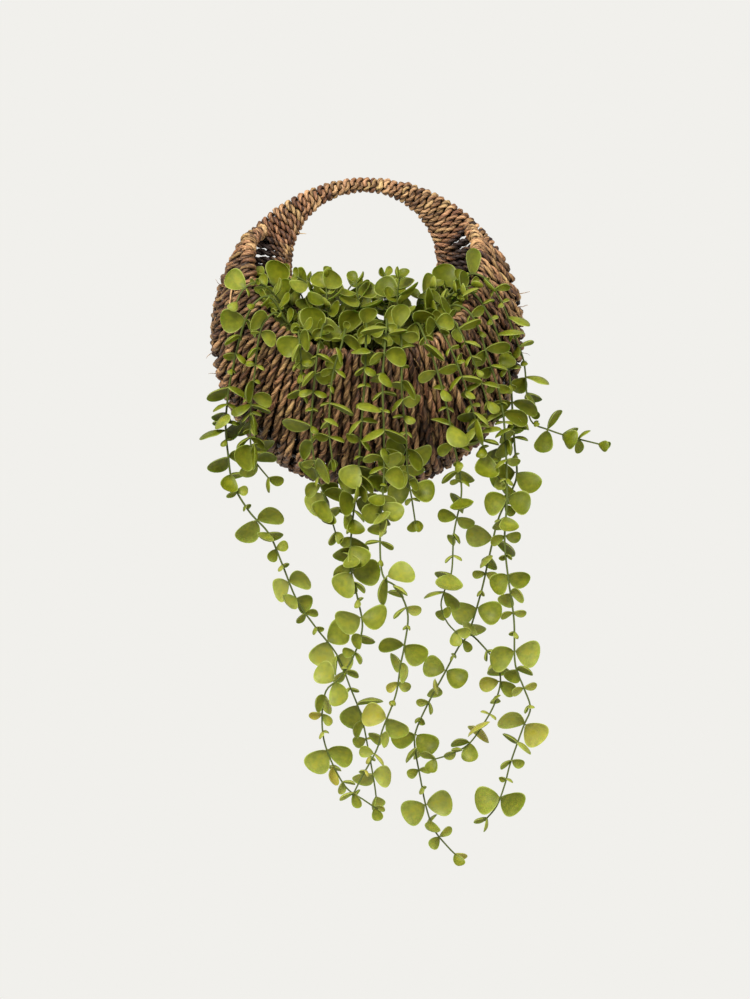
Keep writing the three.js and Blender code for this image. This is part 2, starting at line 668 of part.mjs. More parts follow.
// One stretch of stem as a solid: a square tube whose leaves grow out of its sides. Each pair
// stands on a short step of the tube, and a leaf takes the place of that step's side.
function stemSolid({ line, frames, bare }, stem) {
  const points = [];
  const corners = [];
  const add = (p) => points.push(p.x, p.y, p.z) / 3 - 1;
  const ring = (middle, frame) => [0, 1, 2, 3].map((k) =>
    add(middle.clone().addScaledVector(outward(frame, stem.aim - 45 + 90 * k), STEM)));
  const side = (below, above, k) => {
    const n = (k + 1) % 4;
    corners.push([below[k], below[n], above[n]], [below[k], above[n], above[k]]);
  };

  const blade = (below, above, k, leaf) => {
    const n = (k + 1) % 4;
    const [a, b, c, d] = [below[k], below[n], above[n], above[k]];
    const hollow = -LEAF_CUP * leaf.length;
    const low = add(onLeaf(leaf, 0.6, 0, hollow - LEAF_THICK / 2));
    const high = add(onLeaf(leaf, 0.6, 0, hollow + LEAF_THICK / 2));
    const left = add(onLeaf(leaf, 0.6, -0.47, 0));
    const right = add(onLeaf(leaf, 0.6, 0.47, 0));
    corners.push([a, b, low], [b, right, low], [b, c, right], [c, high, right]);
    corners.push([c, d, high], [d, left, high], [d, a, left], [a, low, left]);
    if (leaf.length > BIG_LEAF) {
      const tipLeft = add(onLeaf(leaf, 0.97, -0.25, 0));
      const tipRight = add(onLeaf(leaf, 0.97, 0.25, 0));
      corners.push([low, right, tipRight], [low, tipRight, tipLeft], [low, tipLeft, left]);
      corners.push([right, high, tipRight], [high, tipLeft, tipRight], [high, left, tipLeft]);
    } else {
      const tip = add(onLeaf(leaf, 1, 0, 0));
      corners.push([low, right, tip], [low, tip, left], [right, high, tip], [high, left, tip]);
    }
  };

  let below = ring(line[0], frames[0]);
  corners.push([below[2], below[1], below[0]], [below[3], below[2], below[0]]);
  for (let i = 0; i < frames.length; i++) {
    const frame = frames[i];
    if (i < bare) {
      const above = ring(line[i + 1], frame);
      [0, 1, 2, 3].forEach((k) => side(below, above, k));
      below = above;
      continue;
    }
    const pair = i - bare;
    const last = i === frames.length - 1;
    const level = line[i].clone().lerp(line[i + 1], last ? 0.8 : 0.5);
    const foot = ring(level.clone().addScaledVector(frame.along, -ROOT), frame);
    const head = ring(level.clone().addScaledVector(frame.along, ROOT), frame);
    const leaves = [0, 1].map((way) => findLeaf(level, frame, stem, pair, way, last));
    for (let k = 0; k < 4; k++) {
      side(below, foot, k);
      const way = [0, 1].find((w) => (pair + 2 * w) % 4 === k);
      if (way !== undefined && leaves[way]) blade(foot, head, k, leaves[way]);
      else side(foot, head, k);
    }
    below = head;
  }
  corners.push([below[0], below[1], below[2]], [below[0], below[2], below[3]]);

  const geometry = new THREE.BufferGeometry();
  geometry.setAttribute('position', new THREE.Float32BufferAttribute(points, 3));
  geometry.setIndex(corners.flat());
  return solid(geometry);
}

crowdBasket();
STEMS.forEach((stem, number) => {
  stem.number = number;
  stem.parts = stretches(stem);
  for (const { line } of stem.parts) {
    for (let i = 1; i < line.length; i++) crowdLine(line[i - 1], line[i], 4, 1.6, number);
  }
});

const HOLE = (STEM + 3 * GAP) * Math.SQRT2; // radius over the corners of a square hole
const block = [
  [[-58, -7.2], [58, -7.2], [58, -76], [32, -88], [-32, -88], [-58, -76]],
  [[-46, -7.2], [46, -7.2], [46, -50], [26, -60], [-26, -60], [-46, -50]],
];
let growingBlock = loft([
  block[0].map(([x, y]) => v3(x, y, BLOCK_TOP)),
  block[1].map(([x, y]) => v3(x, y, BLOCK_BOTTOM)),
]);
for (const { foot } of STEMS) {
  const hole = new THREE.CylinderGeometry(HOLE, HOLE, 40, 4);
  hole.rotateX(Math.PI / 2);
  hole.translate(...foot, FOOT_LEVELS[0] + 20 - GAP);
  growingBlock = growingBlock.subtract(solid(hole));
}
addPiece('growing_block', growingBlock, '#3a3226', 0.95);

for (const stem of STEMS) {
  const [main, branch] = stem.parts.map((part) => stemSolid(part, stem));
  addPiece(stem.name, branch ? main.add(branch) : main, '#7d9a31', 0.6);
}

export default basket;
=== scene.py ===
"""A round wall basket wound from twisted seagrass rope, with a trailing plant in its pocket.

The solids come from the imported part. This script dresses them: every winding of the rope is laid
turn by turn over the wires, and leaves grow in pairs along the same stems as the solid ones. Sizes
are in millimetres in the part's own frame: the hook point is the origin, +Z is up, -Y is the front.
"""

import math

import bpy
import numpy as np
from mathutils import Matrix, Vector


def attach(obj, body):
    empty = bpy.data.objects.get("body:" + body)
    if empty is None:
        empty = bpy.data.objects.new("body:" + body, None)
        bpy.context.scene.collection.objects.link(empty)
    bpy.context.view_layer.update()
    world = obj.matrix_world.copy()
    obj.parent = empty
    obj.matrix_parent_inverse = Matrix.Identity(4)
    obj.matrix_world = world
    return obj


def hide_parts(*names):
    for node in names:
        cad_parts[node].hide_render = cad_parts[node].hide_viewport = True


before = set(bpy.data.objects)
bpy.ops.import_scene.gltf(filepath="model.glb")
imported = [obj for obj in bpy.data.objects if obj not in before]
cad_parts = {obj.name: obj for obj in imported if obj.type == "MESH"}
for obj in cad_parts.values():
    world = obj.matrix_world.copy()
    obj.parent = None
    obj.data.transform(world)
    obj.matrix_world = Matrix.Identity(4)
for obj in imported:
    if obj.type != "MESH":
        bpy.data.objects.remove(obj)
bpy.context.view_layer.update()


# The wire skeleton.
# Two hoops of black lacquered steel wire, one inside the other and welded where they meet at the
# top, carry the flat ring. A third wire makes the pocket's rim and a fourth its lower edge, and
# short bars tie them to the ring. The rope hides nearly all of it.

WIRE = 2.8
ROPE = 5.5
HOOP = ROPE + WIRE / 2  # radius of a wire with one turn of rope on it
HAND_HOLE = (0.0, -62.9, 62.9)  # x, z and radius of the clear hole
OUTLINE = (3.0, -125.8, 140.0)  # x, z and radius of the basket's edge
SPOKES = (1.5, -96.0)  # x and z of the point that the turns on the ring fan out from
HAUNCH = 0.307 * math.pi  # where the pocket's rim leaves the ring, from straight up
RIM = (0.0, -61.0, 100.5, 90.6, 2.3)  # x, z, half width, drop and roundness of the rim
RIM_TOP = (-29.0, -15.0)  # z and y of its two upper ends
RIM_FRONT = -104.0  # y of its lowest point
LOW_HOOP = (124.6, -44.0)  # radius and y of the lower wire at its lowest point
LOW_START = 0.256 * math.pi  # where the lower wire leaves the ring, from straight up
GAP = 0.3  # between the rope on the ring and the rope on the lower wire
COLUMNS = 45  # even places along the pocket, from its left haunch to its right one
BAR_COLUMNS = (11, 22, 33)  # columns with a short bar between the rim and the ring
BULGE = 4.0  # how far the pocket's wall bows out
ROUND = 8  # sides of a wire's mesh


def linear(hex_colour):
    """An sRGB hex value as a linear colour with alpha."""
    parts = [int(hex_colour[i : i + 2], 16) / 255 for i in (1, 3, 5)]
    return [c / 12.92 if c <= 0.04045 else ((c + 0.055) / 1.055) ** 2.4 for c in parts] + [1.0]


def plug(made, inputs):
    """Sets the inputs of a node to values, or links them to other nodes' outputs."""
    for socket, value in inputs.items():
        if isinstance(value, bpy.types.NodeSocket):
            made.id_data.links.new(value, made.inputs[socket])
        else:
            made.inputs[socket].default_value = value


def node(tree, kind, settings=None, inputs=None):
    """A new shader node of this kind, with its settings, and its inputs set or linked."""
    made = tree.nodes.new("ShaderNode" + kind)
    for name, value in (settings or {}).items():
        setattr(made, name, value)
    plug(made, inputs or {})
    return made


def new_material(name, inputs):
    """A material, its tree of nodes and its shader."""
    made = bpy.data.materials.new(name)
    made.use_nodes = True
    shader = made.node_tree.nodes["Principled BSDF"]
    plug(shader, inputs)
    return made, made.node_tree, shader


def unit(v):
    """The same direction with a length of 1."""
    return v / np.linalg.norm(v, axis=-1, keepdims=True)


def on_circle(angle, circle, grow):
    """Where the spoke at this angle crosses a circle in the wires' plane."""
    along = np.array([math.sin(angle), math.cos(angle)])
    start = np.array([SPOKES[0] - circle[0], SPOKES[1] - circle[1]])
    half = start @ along
    reach = math.sqrt(half * half - start @ start + (circle[2] + grow) ** 2) - half
    return np.array([SPOKES[0] + reach * along[0], 0.0, SPOKES[1] + reach * along[1]])


def on_hoop(angle, hoop, radius):
    """Points of a round hoop, by the angle about its own centre from straight up."""
    x, z = hoop[0] + radius * np.sin(angle), hoop[1] + radius * np.cos(angle)
    return np.stack([x, 0 * angle, z], -1)


def reach_along(line):
    """How far along a line of points each of them lies."""
    return np.r_[0, np.cumsum(np.linalg.norm(np.diff(line[:, :3], axis=0), axis=1))]


def evenly(line, count):
    """Points at even steps along a line of points. Columns after x, y and z go along with them."""
    line = np.asarray(line, float)
    reach = reach_along(line)
    want = np.linspace(0, reach[-1], count)
    return np.stack([np.interp(want, reach, column) for column in line.T], 1)


def rim_line(count):
    """The pocket's rim wire: a rounded oval that leans forward towards its lowest point."""
    x, z, a, b, power = RIM
    start = math.asin(((RIM_TOP[0] - z) / b) ** (power / 2))
    turn = math.pi + start - (math.pi + 2 * start) * np.linspace(0, 1, 401)
    c, s = np.cos(turn), np.sin(turn)
    flat = np.stack([
        x + a * np.sign(c) * np.abs(c) ** (2 / power),
        0 * turn,
        z - b * np.sign(s) * np.abs(s) ** (2 / power),
    ], 1)
    line = evenly(flat, count)
    down = np.maximum(0, (RIM_TOP[0] - line[:, 2]) / (RIM_TOP[0] - (z - b)))
    line[:, 1] = RIM_TOP[1] + (RIM_FRONT - RIM_TOP[1]) * down**0.9
    return line


def low_hoop_line(count):
    """The pocket's lower wire, which leaves the ring at the haunches and comes forward below."""
    share = np.linspace(-1, 1, count)
    turn = share * (math.pi - LOW_START)
    drop = 1 - share**2
    radius = OUTLINE[2] - HOOP - (OUTLINE[2] - HOOP - LOW_HOOP[0]) * drop
    y = RIM_TOP[1] + (LOW_HOOP[1] - RIM_TOP[1]) * drop
    return np.stack([OUTLINE[0] + radius * np.sin(turn), y, OUTLINE[1] - radius * np.cos(turn)], 1)


# For every column of the pocket: its points on the rim, on the lower wire and on the ring's edge,
# the way down its wall and the way straight out of it.
IN_PLANE = np.array([1, 0, 1])
ring_middle = np.array([OUTLINE[0], 0, OUTLINE[1]])
rim = rim_line(COLUMNS)
low_hoop = low_hoop_line(COLUMNS)
ring_side = ring_middle + unit((low_hoop - ring_middle) * IN_PLANE) * (OUTLINE[2] - HOOP)
ring_side[:, 1] = -(HOOP + GAP)
down_wall = unit(low_hoop - rim)
padded = np.vstack([rim[:1], rim, rim[-1:]])
wall_out = -unit(np.cross(padded[2:] - padded[:-2], down_wall))


def at_column(table, column):
    """A row of such a table by a place between two columns."""
    column = np.asarray(column, float)
    low = np.clip(np.floor(column).astype(int), 0, COLUMNS - 2)
    part = (column - low)[..., None]
    return table[low] * (1 - part) + table[low + 1] * part


def on_wall(column, share, rise=0.0):
    """A point of the pocket's wall, by its share of the way down, or this far out from it."""
    share = np.asarray(share, float)[..., None]
    flat = at_column(rim, column) * (1 - share) + at_column(low_hoop, column) * share
    return flat + at_column(wall_out, column) * (BULGE * np.sin(np.pi * share) + rise)


def frames_along(path):
    """Two directions square to each point of a path, carried along it without twisting."""
    tangent = unit(np.gradient(path, axis=0))
    side = np.zeros_like(path)
    side[0] = unit(np.cross(tangent[0], [0.3, 0.9, 0.2]))
    for i in range(1, len(path)):
        s = side[i - 1] - tangent[i] * (side[i - 1] @ tangent[i])
        side[i] = s / math.sqrt(s @ s)
    return side, np.cross(tangent, side)


def skin(rows, sides, first=0):
    """Faces between rings of corners that follow each other."""
    i, k = np.meshgrid(np.arange(rows - 1), np.arange(sides), indexing="ij")
    n = (k + 1) % sides
    quads = np.stack([i * sides + k, i * sides + n, (i + 1) * sides + n, (i + 1) * sides + k], -1)
    return (quads.reshape(-1, 4) + first).tolist()


def closed_skin(rows, sides):
    """The same, with each end closed by a fan to one of two last corners."""
    faces, last = skin(rows, sides), (rows - 1) * sides
    for k in range(sides):
        n = (k + 1) % sides
        faces += [[rows * sides, n, k], [rows * sides + 1, last + k, last + n]]
    return faces


def tube_mesh(path, radius, sides):
    """Corners and faces of a closed round tube along a path."""
    side, up = frames_along(path)
    turn = 2 * np.pi * np.arange(sides) / sides
    radius = np.broadcast_to(radius, len(path))[:, None, None]
    ring = side[:, None] * np.cos(turn)[:, None] + up[:, None] * np.sin(turn)[:, None]
    corners = (path[:, None] + ring * radius).reshape(-1, 3)
    return np.vstack([corners, path[:1], path[-1:]]), closed_skin(len(path), sides)


def join_up(parts):
    """Several meshes, each its corners and faces, as one."""
    corners, faces, count = [], [], 0
    for some_corners, some_faces in parts:
        corners.append(some_corners)
        faces += [[count + i for i in face] for face in some_faces]
        count += len(some_corners)
    return np.vstack(corners), faces


def dress(name, corners, faces, materials, nodes, paint=None, marks=None):
    """A smooth piece that stands for CAD nodes.

    paint holds named values for its corners, and marks the number of each face's material.
    """
    mesh = bpy.data.meshes.new(name)
    mesh.from_pydata((np.asarray(corners) * 0.001).tolist(), [], faces)
    mesh.shade_smooth()
    for material in materials:
        mesh.materials.append(material)
    if marks is not None:
        mesh.polygons.foreach_set("material_index", np.asarray(marks, np.int32))
    for label, values in (paint or {}).items():
        kept = mesh.attributes.new(label, "FLOAT_VECTOR", "POINT")
        kept.data.foreach_set("vector", np.asarray(values, np.float32).ravel())
    piece = bpy.data.objects.new(name, mesh)
    bpy.context.scene.collection.objects.link(piece)
    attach(piece, "root")
    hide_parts(*nodes)


lacquered_wire, tree, shader = new_material(
    "Lacquered steel wire", {"Base Color": linear("#2A211B")}
)
# Dipped lacquer is slightly uneven, so the gloss breaks up every millimetre or so.
drips = node(tree, "TexNoise", inputs={"Scale": 300.0, "Detail": 3.0})
gloss = node(tree, "MapRange", inputs={0: drips.outputs[0], 3: 0.3, 4: 0.5})
plug(shader, {"Roughness": gloss.outputs[0]})

wires = [
    on_hoop(np.linspace(0, 2 * np.pi, 121), hoop, radius)
    for hoop, radius in ((OUTLINE, OUTLINE[2] - HOOP), (HAND_HOLE, HAND_HOLE[2] + HOOP))
]
rim_roots = [
    on_circle(side * (HAUNCH - 0.01), OUTLINE, -HOOP - 3) + [0, -2, 0] for side in (-1, 1)
]
wires.append(evenly(np.vstack([rim_roots[0], rim[2:-2], rim_roots[1]]), 140))
hoop_ends = [ring_side[i] * IN_PLANE for i in (4, -5)]
wires.append(evenly(np.vstack([hoop_ends[0], low_hoop[5:-5], hoop_ends[1]]), 120))
for column in BAR_COLUMNS:
    bar = [on_wall(column, s) for s in np.linspace(0, 1, 9)] + [ring_side[column] * IN_PLANE]
    wires.append(evenly(bar, 30))
wires.append(evenly([on_circle(math.pi, HAND_HOLE, HOOP), on_circle(math.pi, OUTLINE, -HOOP)], 12))
corners, faces = join_up([tube_mesh(path, WIRE / 2, ROUND) for path in wires])
dress("welded_wires", corners, faces, [lacquered_wire], ["wire_frame"])


# The rope round the handle.
# Seagrass: dried blades of sedge, twisted into two strands and those into a rope 5.5 mm thick.
# It is wound tightly over both hoops, turn against turn, and is lightest here, where it is handled.

STRAND = 2.0  # radius of one of the rope's two strands
STRAND_OUT = 1.4  # from the middle of the rope to the middle of a strand
LAY = 14.0  # length in which the two strands go once round each other
SPIN = 34.0  # length in which a strand's fibres go once round it
BLADE = 26.0  # length of rope over which one blade gives way to the next
UNEVEN = 9.0  # length between its thick and thin places
WOUND = WIRE / 2 + ROPE / 2  # from the middle of a wire to the middle of the rope on it
TURNS_ON_HANDLE = 34
# Settings of the nodes below.
SMOOTH = {"interpolation_type": "SMOOTHSTEP"}
TIMES = {"operation": "MULTIPLY"}
OVER = {"data_type": "RGBA"}
TINT = {"data_type": "RGBA", "blend_type": "MULTIPLY"}


def soften(path, times):
    """A path with its corners eased by averaging neighbours."""
    for _ in range(times):
        path = np.vstack([path[:1], (path[:-2] + 2 * path[1:-1] + path[2:]) / 4, path[-1:]])
    return path


def lay_rope(path, step, seed, sides=8, lay=LAY):
    """Two strands twisted round each other along a path, as corners, faces and painted values.

    A fourth column of the path makes the rope thicker or thinner. Each corner keeps its place on
    the strand pulled out straight, for the fibres. It also keeps how light its blade is, because
    blades of different colours follow each other along a rope, its hue, and how far it faces into
    the groove between the strands, where the colour is given painted shade.
    """
    path = soften(evenly(path, max(4, int(reach_along(path)[-1] / step))), 1)
    swell = path[:, 3] if path.shape[1] > 3 else np.ones(len(path))
    path = path[:, :3]
    run = reach_along(path)
    side, up = frames_along(path)
    chance = np.random.default_rng(seed)
    knots = np.arange(0, run[-1] + 30, UNEVEN)
    uneven = np.interp(run, knots, chance.normal(0, 1, len(knots)))
    slack = np.interp(run, knots, chance.normal(0, 1, len(knots)))
    blades = np.arange(0, run[-1] + 60, BLADE)
    blade = np.interp(run, blades, chance.uniform(0, 1, len(blades)))
    phase = 2 * np.pi * run / lay + 0.5 * slack + chance.uniform(0, 2 * np.pi)
    turn = 2 * np.pi * np.arange(sides) / sides
    all_corners, all_faces, straight, looks = [], [], [], []
    for strand, way in enumerate((phase, phase + np.pi)):
        c, s = np.cos(way)[:, None], np.sin(way)[:, None]
        out, across = side * c + up * s, up * c - side * s
        fat = swell * STRAND * (1 + 0.1 * uneven * (1 if strand else -1))
        middle = path + out * (swell * STRAND_OUT * (1 + 0.08 * slack))[:, None]
        ring = out[:, None] * np.cos(turn)[:, None] * 0.92 + across[:, None] * np.sin(turn)[:, None]
        all_corners.append((middle[:, None] + ring * fat[:, None, None]).reshape(-1, 3))
        first = strand * len(path) * sides
        all_faces += skin(len(path), sides, first)
        all_faces.append([first + k for k in reversed(range(sides))])
        all_faces.append([first + (len(path) - 1) * sides + k for k in range(sides)])
        spun = turn[None] - 2 * np.pi * run[:, None] / SPIN
        straight.append(np.stack([
            np.cos(spun) * STRAND,
            np.sin(spun) * STRAND,
            np.broadcast_to(run[:, None] + 400 * strand, spun.shape),
        ], -1).reshape(-1, 3))
        tone = np.clip(blade + 0.3 * (strand - 0.5) + 0.12 * uneven, 0, 1)
        hue = np.interp(run, blades, chance.uniform(0, 1, len(blades)))
        hollow = np.tile(0.5 - 0.5 * np.cos(turn), len(path))
        looks.append(np.c_[np.repeat(np.stack([tone, hue], 1), sides, 0), hollow])
    return np.vstack(all_corners), all_faces, np.vstack(straight), np.vstack(looks)


def rope_piece(name, ropes, material, nodes):
    """Many stretches of rope as one piece. Each has its own place in the fibre pattern."""
    corners, faces, straight, looks = zip(*ropes)
    shifted = [s + [0, 0, 977.0 * i] for i, s in enumerate(straight)]
    paint = {"pulled_straight": np.vstack(shifted), "blade_tone_and_shade": np.vstack(looks)}
    merged, all_faces = join_up(list(zip(corners, faces)))
    dress(name, merged, all_faces, [material], nodes, paint)


def seagrass(name, dark, middle, light):
    """Dried seagrass: long flat fibres, a papery half gloss, and blades from brown to straw."""
    made, tree, shader = new_material(name, {"IOR": 1.45, "Specular IOR Level": 0.55})
    place = node(tree, "Attribute", {"attribute_name": "pulled_straight"}).outputs["Vector"]
    look = node(tree, "Attribute", {"attribute_name": "blade_tone_and_shade"}).outputs["Vector"]
    blade, hue, hollow = node(tree, "SeparateXYZ", inputs={0: look}).outputs
    # A blade's fibres are about 0.3 mm wide and 12 mm long.
    stretched = node(tree, "VectorMath", TIMES, {0: place, 1: (1.0, 1.0, 0.07)})
    threads = {"Vector": stretched.outputs[0], "Scale": 1.7, "Detail": 4.0, "Roughness": 0.6}
    fibres = node(tree, "TexNoise", inputs=threads).outputs[0]
    # Along the rope the colour drifts from blade to blade, every 25 mm or so.
    stretched = node(tree, "VectorMath", TIMES, {0: place, 1: (0.3, 0.3, 0.06)})
    drift = {"Vector": stretched.outputs[0], "Scale": 1.0, "Detail": 2.0}
    patches = node(tree, "TexNoise", inputs=drift).outputs[0]
    tone = -1.3
    for value, weight in ((fibres, 2.5), (patches, 0.7), (blade, 0.5)):
        inputs = {0: value, 1: weight, 2: tone}
        tone = node(tree, "Math", {"operation": "MULTIPLY_ADD"}, inputs).outputs[0]
    straw = node(tree, "ValToRGB", inputs={0: tone})
    stops = straw.color_ramp.elements
    stops[0].position, stops[0].color = 0.12, linear(dark)
    stops[1].position, stops[1].color = 0.95, linear(light)
    stops.new(0.5).color = linear(middle)
    # Some blades dried greenish, some reddish.
    tinge = node(tree, "ValToRGB", inputs={0: hue})
    stops = tinge.color_ramp.elements
    stops[0].color, stops[1].color = linear("#E6E6C0"), linear("#EFD3C2")
    stops.new(0.5).color = linear("#F0E4CE")
    tinged = node(tree, "Mix", TINT, {0: 1.0, 6: straw.outputs[0], 7: tinge.outputs[0]})
    # Painted shade keeps the groove between the two strands dark.
    groove = node(tree, "MapRange", SMOOTH, {0: hollow, 1: 0.3, 2: 0.85, 3: 0.0, 4: 0.62})
    painted_groove_shade = {0: groove.outputs[0], 6: tinged.outputs[2], 7: linear("#241208")}
    groove_shaded = node(tree, "Mix", OVER, painted_groove_shade)
    # Painted shade: the colour darkens between the turns and in every crease, by how enclosed each
    # point is.
    openness = node(tree, "AmbientOcclusion", {"samples": 8}, {"Distance": 0.012})
    shade_range = {0: openness.outputs["AO"], 1: 0.1, 2: 0.65, 3: 0.25, 4: 1.08}
    painted_shade = node(tree, "MapRange", inputs=shade_range)
    shaded_straw = node(tree, "Mix", TINT, {0: 1.0, 6: groove_shaded.outputs[2], 7: painted_shade.outputs[0]})
    dull = node(tree, "MapRange", inputs={0: fibres, 3: 0.7, 4: 0.42})
    ridges = node(tree, "Bump", inputs={"Strength": 0.9, "Distance": 0.0006, "Height": fibres})
    plug(shader, {
        "Base Color": shaded_straw.outputs[2],
        "Roughness": dull.outputs[0],
        "Normal": ridges.outputs[0],
    })
    return made


def round_wire(start, stop, out, way):
    """The half turn over a wire: to its back over the outer one (way 1), or forward again (-1)."""
    turn = np.linspace(0, np.pi, 8)[1:-1, None]
    bend = way * WOUND * (np.sin(turn) * out - np.cos(turn) * [0, 1, 0])
    return np.c_[start + (stop - start) * turn / np.pi + bend, np.ones(len(turn))]


def wind_ring(places, seed, jitter, step, sides=8, open_turns=(), back=1.0):
    """One rope wound over both hoops. Each place is a turn's points on the inner and outer hoop.

    A turn leans back a little as it runs out over the front, and returns between its neighbours
    behind, where it is this much thicker. An open turn returns nearly in line with itself, so that
    light shows through beside it.
    """
    chance = np.random.default_rng(seed)
    path = []
    for i, ((inner, outer), (next_inner, next_outer)) in enumerate(zip(places, places[1:])):
        shake = chance.normal(0, jitter, 4)[:, None] * unit(next_outer - outer)
        front = np.array([0, -WOUND - chance.uniform(-0.5, 0.5), 0])
        outer_on, inner_on, thick = (0.14, 0.6, 1.0) if i in open_turns else (0.5, 1.0, back)
        behind = np.array([0, WOUND - 0.8 - 4 * (thick - 1), 0])
        a, b = (inner + next_inner) / 2 + shake[0], outer + shake[1]
        c = outer * (1 - outer_on) + next_outer * outer_on + shake[2]
        d = inner * (1 - inner_on) + next_inner * inner_on + shake[3]
        out = unit(outer - [SPOKES[0], 0, SPOKES[1]])
        run_out = (a + front, (a + b) / 2 + front + [0, -0.8, 0], b + front)
        run_back = (c * 0.94 + d * 0.06 + behind, (c + d) / 2 + behind, c * 0.1 + d * 0.9 + behind)
        path += [
            np.c_[run_out, np.ones(3)],
            round_wire(b, c, out, 1),
            np.c_[run_back, np.full(3, thick)],
            round_wire(d, next_inner, out, -1),
        ]
    return lay_rope(np.vstack(path), step, seed, sides)


def bare_roll(path, seed, pitch=6.8):
    """A wire on its own with rope coiled tightly round it."""
    path = evenly(path, max(8, int(reach_along(path)[-1] / 0.9)))
    side, up = frames_along(path)
    turn = (2 * np.pi * reach_along(path) / pitch)[:, None]
    coil = path + WOUND * (side * np.cos(turn) + up * np.sin(turn))
    return lay_rope(coil, 2.2, seed)


golden_seagrass = seagrass("Twisted seagrass, golden", "#301A0A", "#734E2E", "#CCAC86")
angles = np.linspace(-HAUNCH, HAUNCH, TURNS_ON_HANDLE + 1)
places = [(on_circle(a, HAND_HOLE, HOOP), on_circle(a, OUTLINE, -HOOP)) for a in angles]
handle_rope = [wind_ring(places, 11, 0.35, 2.2)]
# At each haunch the rim wire and the outer hoop part, and each has a coil of its own.
for number, (side, near_rim) in enumerate(((-1, rim[2:5]), (1, rim[-3:-6:-1]))):
    roll = soften(evenly(np.vstack([rim_roots[number], near_rim]), 24), 6)
    handle_rope.append(bare_roll(roll, 21 + number))
    edge = [on_circle(side * (HAUNCH + t), OUTLINE, -HOOP) for t in np.linspace(-0.05, 0.24, 12)]
    handle_rope.append(bare_roll(np.array(edge), 25 + number))
rope_piece("handle_rope", handle_rope, golden_seagrass, ["rope_handle"])


# The rope on the flat ring.
# The same rope goes on round the ring, over the outer hoop and under the inner one. The outer hoop
# is much longer, so the turns lie close together at the hole and fan out towards the edge.

TURNS_ON_RING = 66
OPEN_TURNS = (0, 1, 2, 3, 4, 6, TURNS_ON_RING - 5, TURNS_ON_RING - 4, TURNS_ON_RING - 3)
brown_seagrass = seagrass("Twisted seagrass, brown", "#26140A", "#6C4A2C", "#C8A67C")


def ring_places(hoop, grow):
    """Even places on a hoop from the right haunch, under the hole, to the left one."""
    first, last = [
        math.atan2(x - hoop[0], z - hoop[1]) % (2 * math.pi)
        for x, _, z in (on_circle(angle, hoop, grow) for angle in (HAUNCH - 0.02, 0.02 - HAUNCH))
    ]
    return on_hoop(np.linspace(first, last, TURNS_ON_RING + 1), hoop, hoop[2] + grow)


places = list(zip(ring_places(HAND_HOLE, HOOP), ring_places(OUTLINE, -HOOP)))
ring_rope = [wind_ring(places, 31, 0.7, 2.8, 7, OPEN_TURNS, 1.22)]
# In front, under the pocket's rim, the blades are made darker: painted shade, where the pocket
# shadows the ring.
front, looks = ring_rope[0][0], ring_rope[0][3]
from_hole = np.hypot(front[:, 0] - HAND_HOLE[0], front[:, 2] - HAND_HOLE[1]) - HAND_HOLE[2]
looks[:, 0] -= 1.3 * np.clip((from_hole - 8) / 14, 0, 1) * (front[:, 1] < 0)
rope_piece("ring_rope", ring_rope, brown_seagrass, ["rope_back_panel"])


# The rope on the pocket.
# Rope wound from the pocket's rim down over its lower wire to the ring's edge and back up inside.
# It is close at the rim and opens into narrow gaps lower down, where the inner runs show through.

TURNS_ON_POCKET = 56
POCKET_ENDS = (1.6, 42.4)  # columns of its first and last turn
POCKET_LAY = 27.0  # the twist is pulled straighter here than round the handle
LAYER = 2.9  # from the middle of the wall to the middle of either layer of rope
THICK_OUTSIDE, THICK_INSIDE = 1.06, 1.25
NARROW = 9  # columns beside each haunch where the wall is too narrow to bow out
LOOSE_FIBRES = 330


def pocket_turn(column, next_column, chance):
    """One turn: down the front from the rim, round the ring's edge, and back up inside."""
    shake = chance.normal(0, 0.13, 3)
    puff = chance.uniform(-0.2, 0.8)
    lean, foot = column + shake[0] * 0.6, column + shake[1]
    inside = (column + next_column) / 2 + shake[2]
    flat = BULGE * (1 - min(1, column / NARROW, (COLUMNS - 1 - column) / NARROW))
    top, normal, down = [at_column(table, lean) for table in (rim, wall_out, down_wall)]
    path = [top - down * WOUND, top + (normal - down) * WOUND * 0.72, top + normal * WOUND]
    for share in (0.16, 0.36, 0.58, 0.8):
        rise = LAYER + puff - flat * math.sin(math.pi * share)
        path.append(on_wall(lean + (foot - lean) * share, share, rise))
    low, edge = at_column(low_hoop, foot), at_column(ring_side, foot)
    outward = unit((low - ring_middle) * IN_PLANE)
    corner = unit(at_column(wall_out, foot) + outward)
    path += [low + corner * WOUND, edge + outward * (WOUND - 0.8)]
    low, edge = at_column(low_hoop, inside), at_column(ring_side, inside)
    path += [edge + outward * 1.5 + [0, 0.8, 0], edge - outward * 2.2 + [0, -0.8, 0]]
    outside_count = len(path)
    path.append(low - corner * WOUND * 0.9)
    for share in (0.75, 0.5, 0.25):
        rise = LAYER + flat * math.sin(math.pi * share)
        path.append(on_wall(inside, share, -rise))
    top, normal, down = [at_column(table, inside) for table in (rim, wall_out, down_wall)]
    path += [top - normal * WOUND, top - (normal + down) * WOUND * 0.72]
    thick = np.full(len(path), THICK_INSIDE)
    thick[:outside_count] = THICK_OUTSIDE
    return np.c_[path, thick]


def loose_end(start, way, length, radius, chance):
    """A fibre that has come away from the rope: it curls off and thins out."""
    points, way = [np.array(start, float)], unit(np.array(way, float))
    for _ in range(7):
        way = unit(way + chance.normal(0, 0.22, 3) * [1, 0.6, 1])
        points.append(points[-1] + way * length / 7)
    line = evenly(points, 10)
    corners, faces = tube_mesh(line, radius * np.linspace(1, 0.35, len(line)), 5)
    straight = np.c_[corners[:, 0], corners[:, 1], np.arange(len(corners)) * 0.5]
    looks = np.tile([chance.uniform(0.3, 1.0), chance.uniform(), 0.0], (len(corners), 1))
    return corners, faces, straight, looks


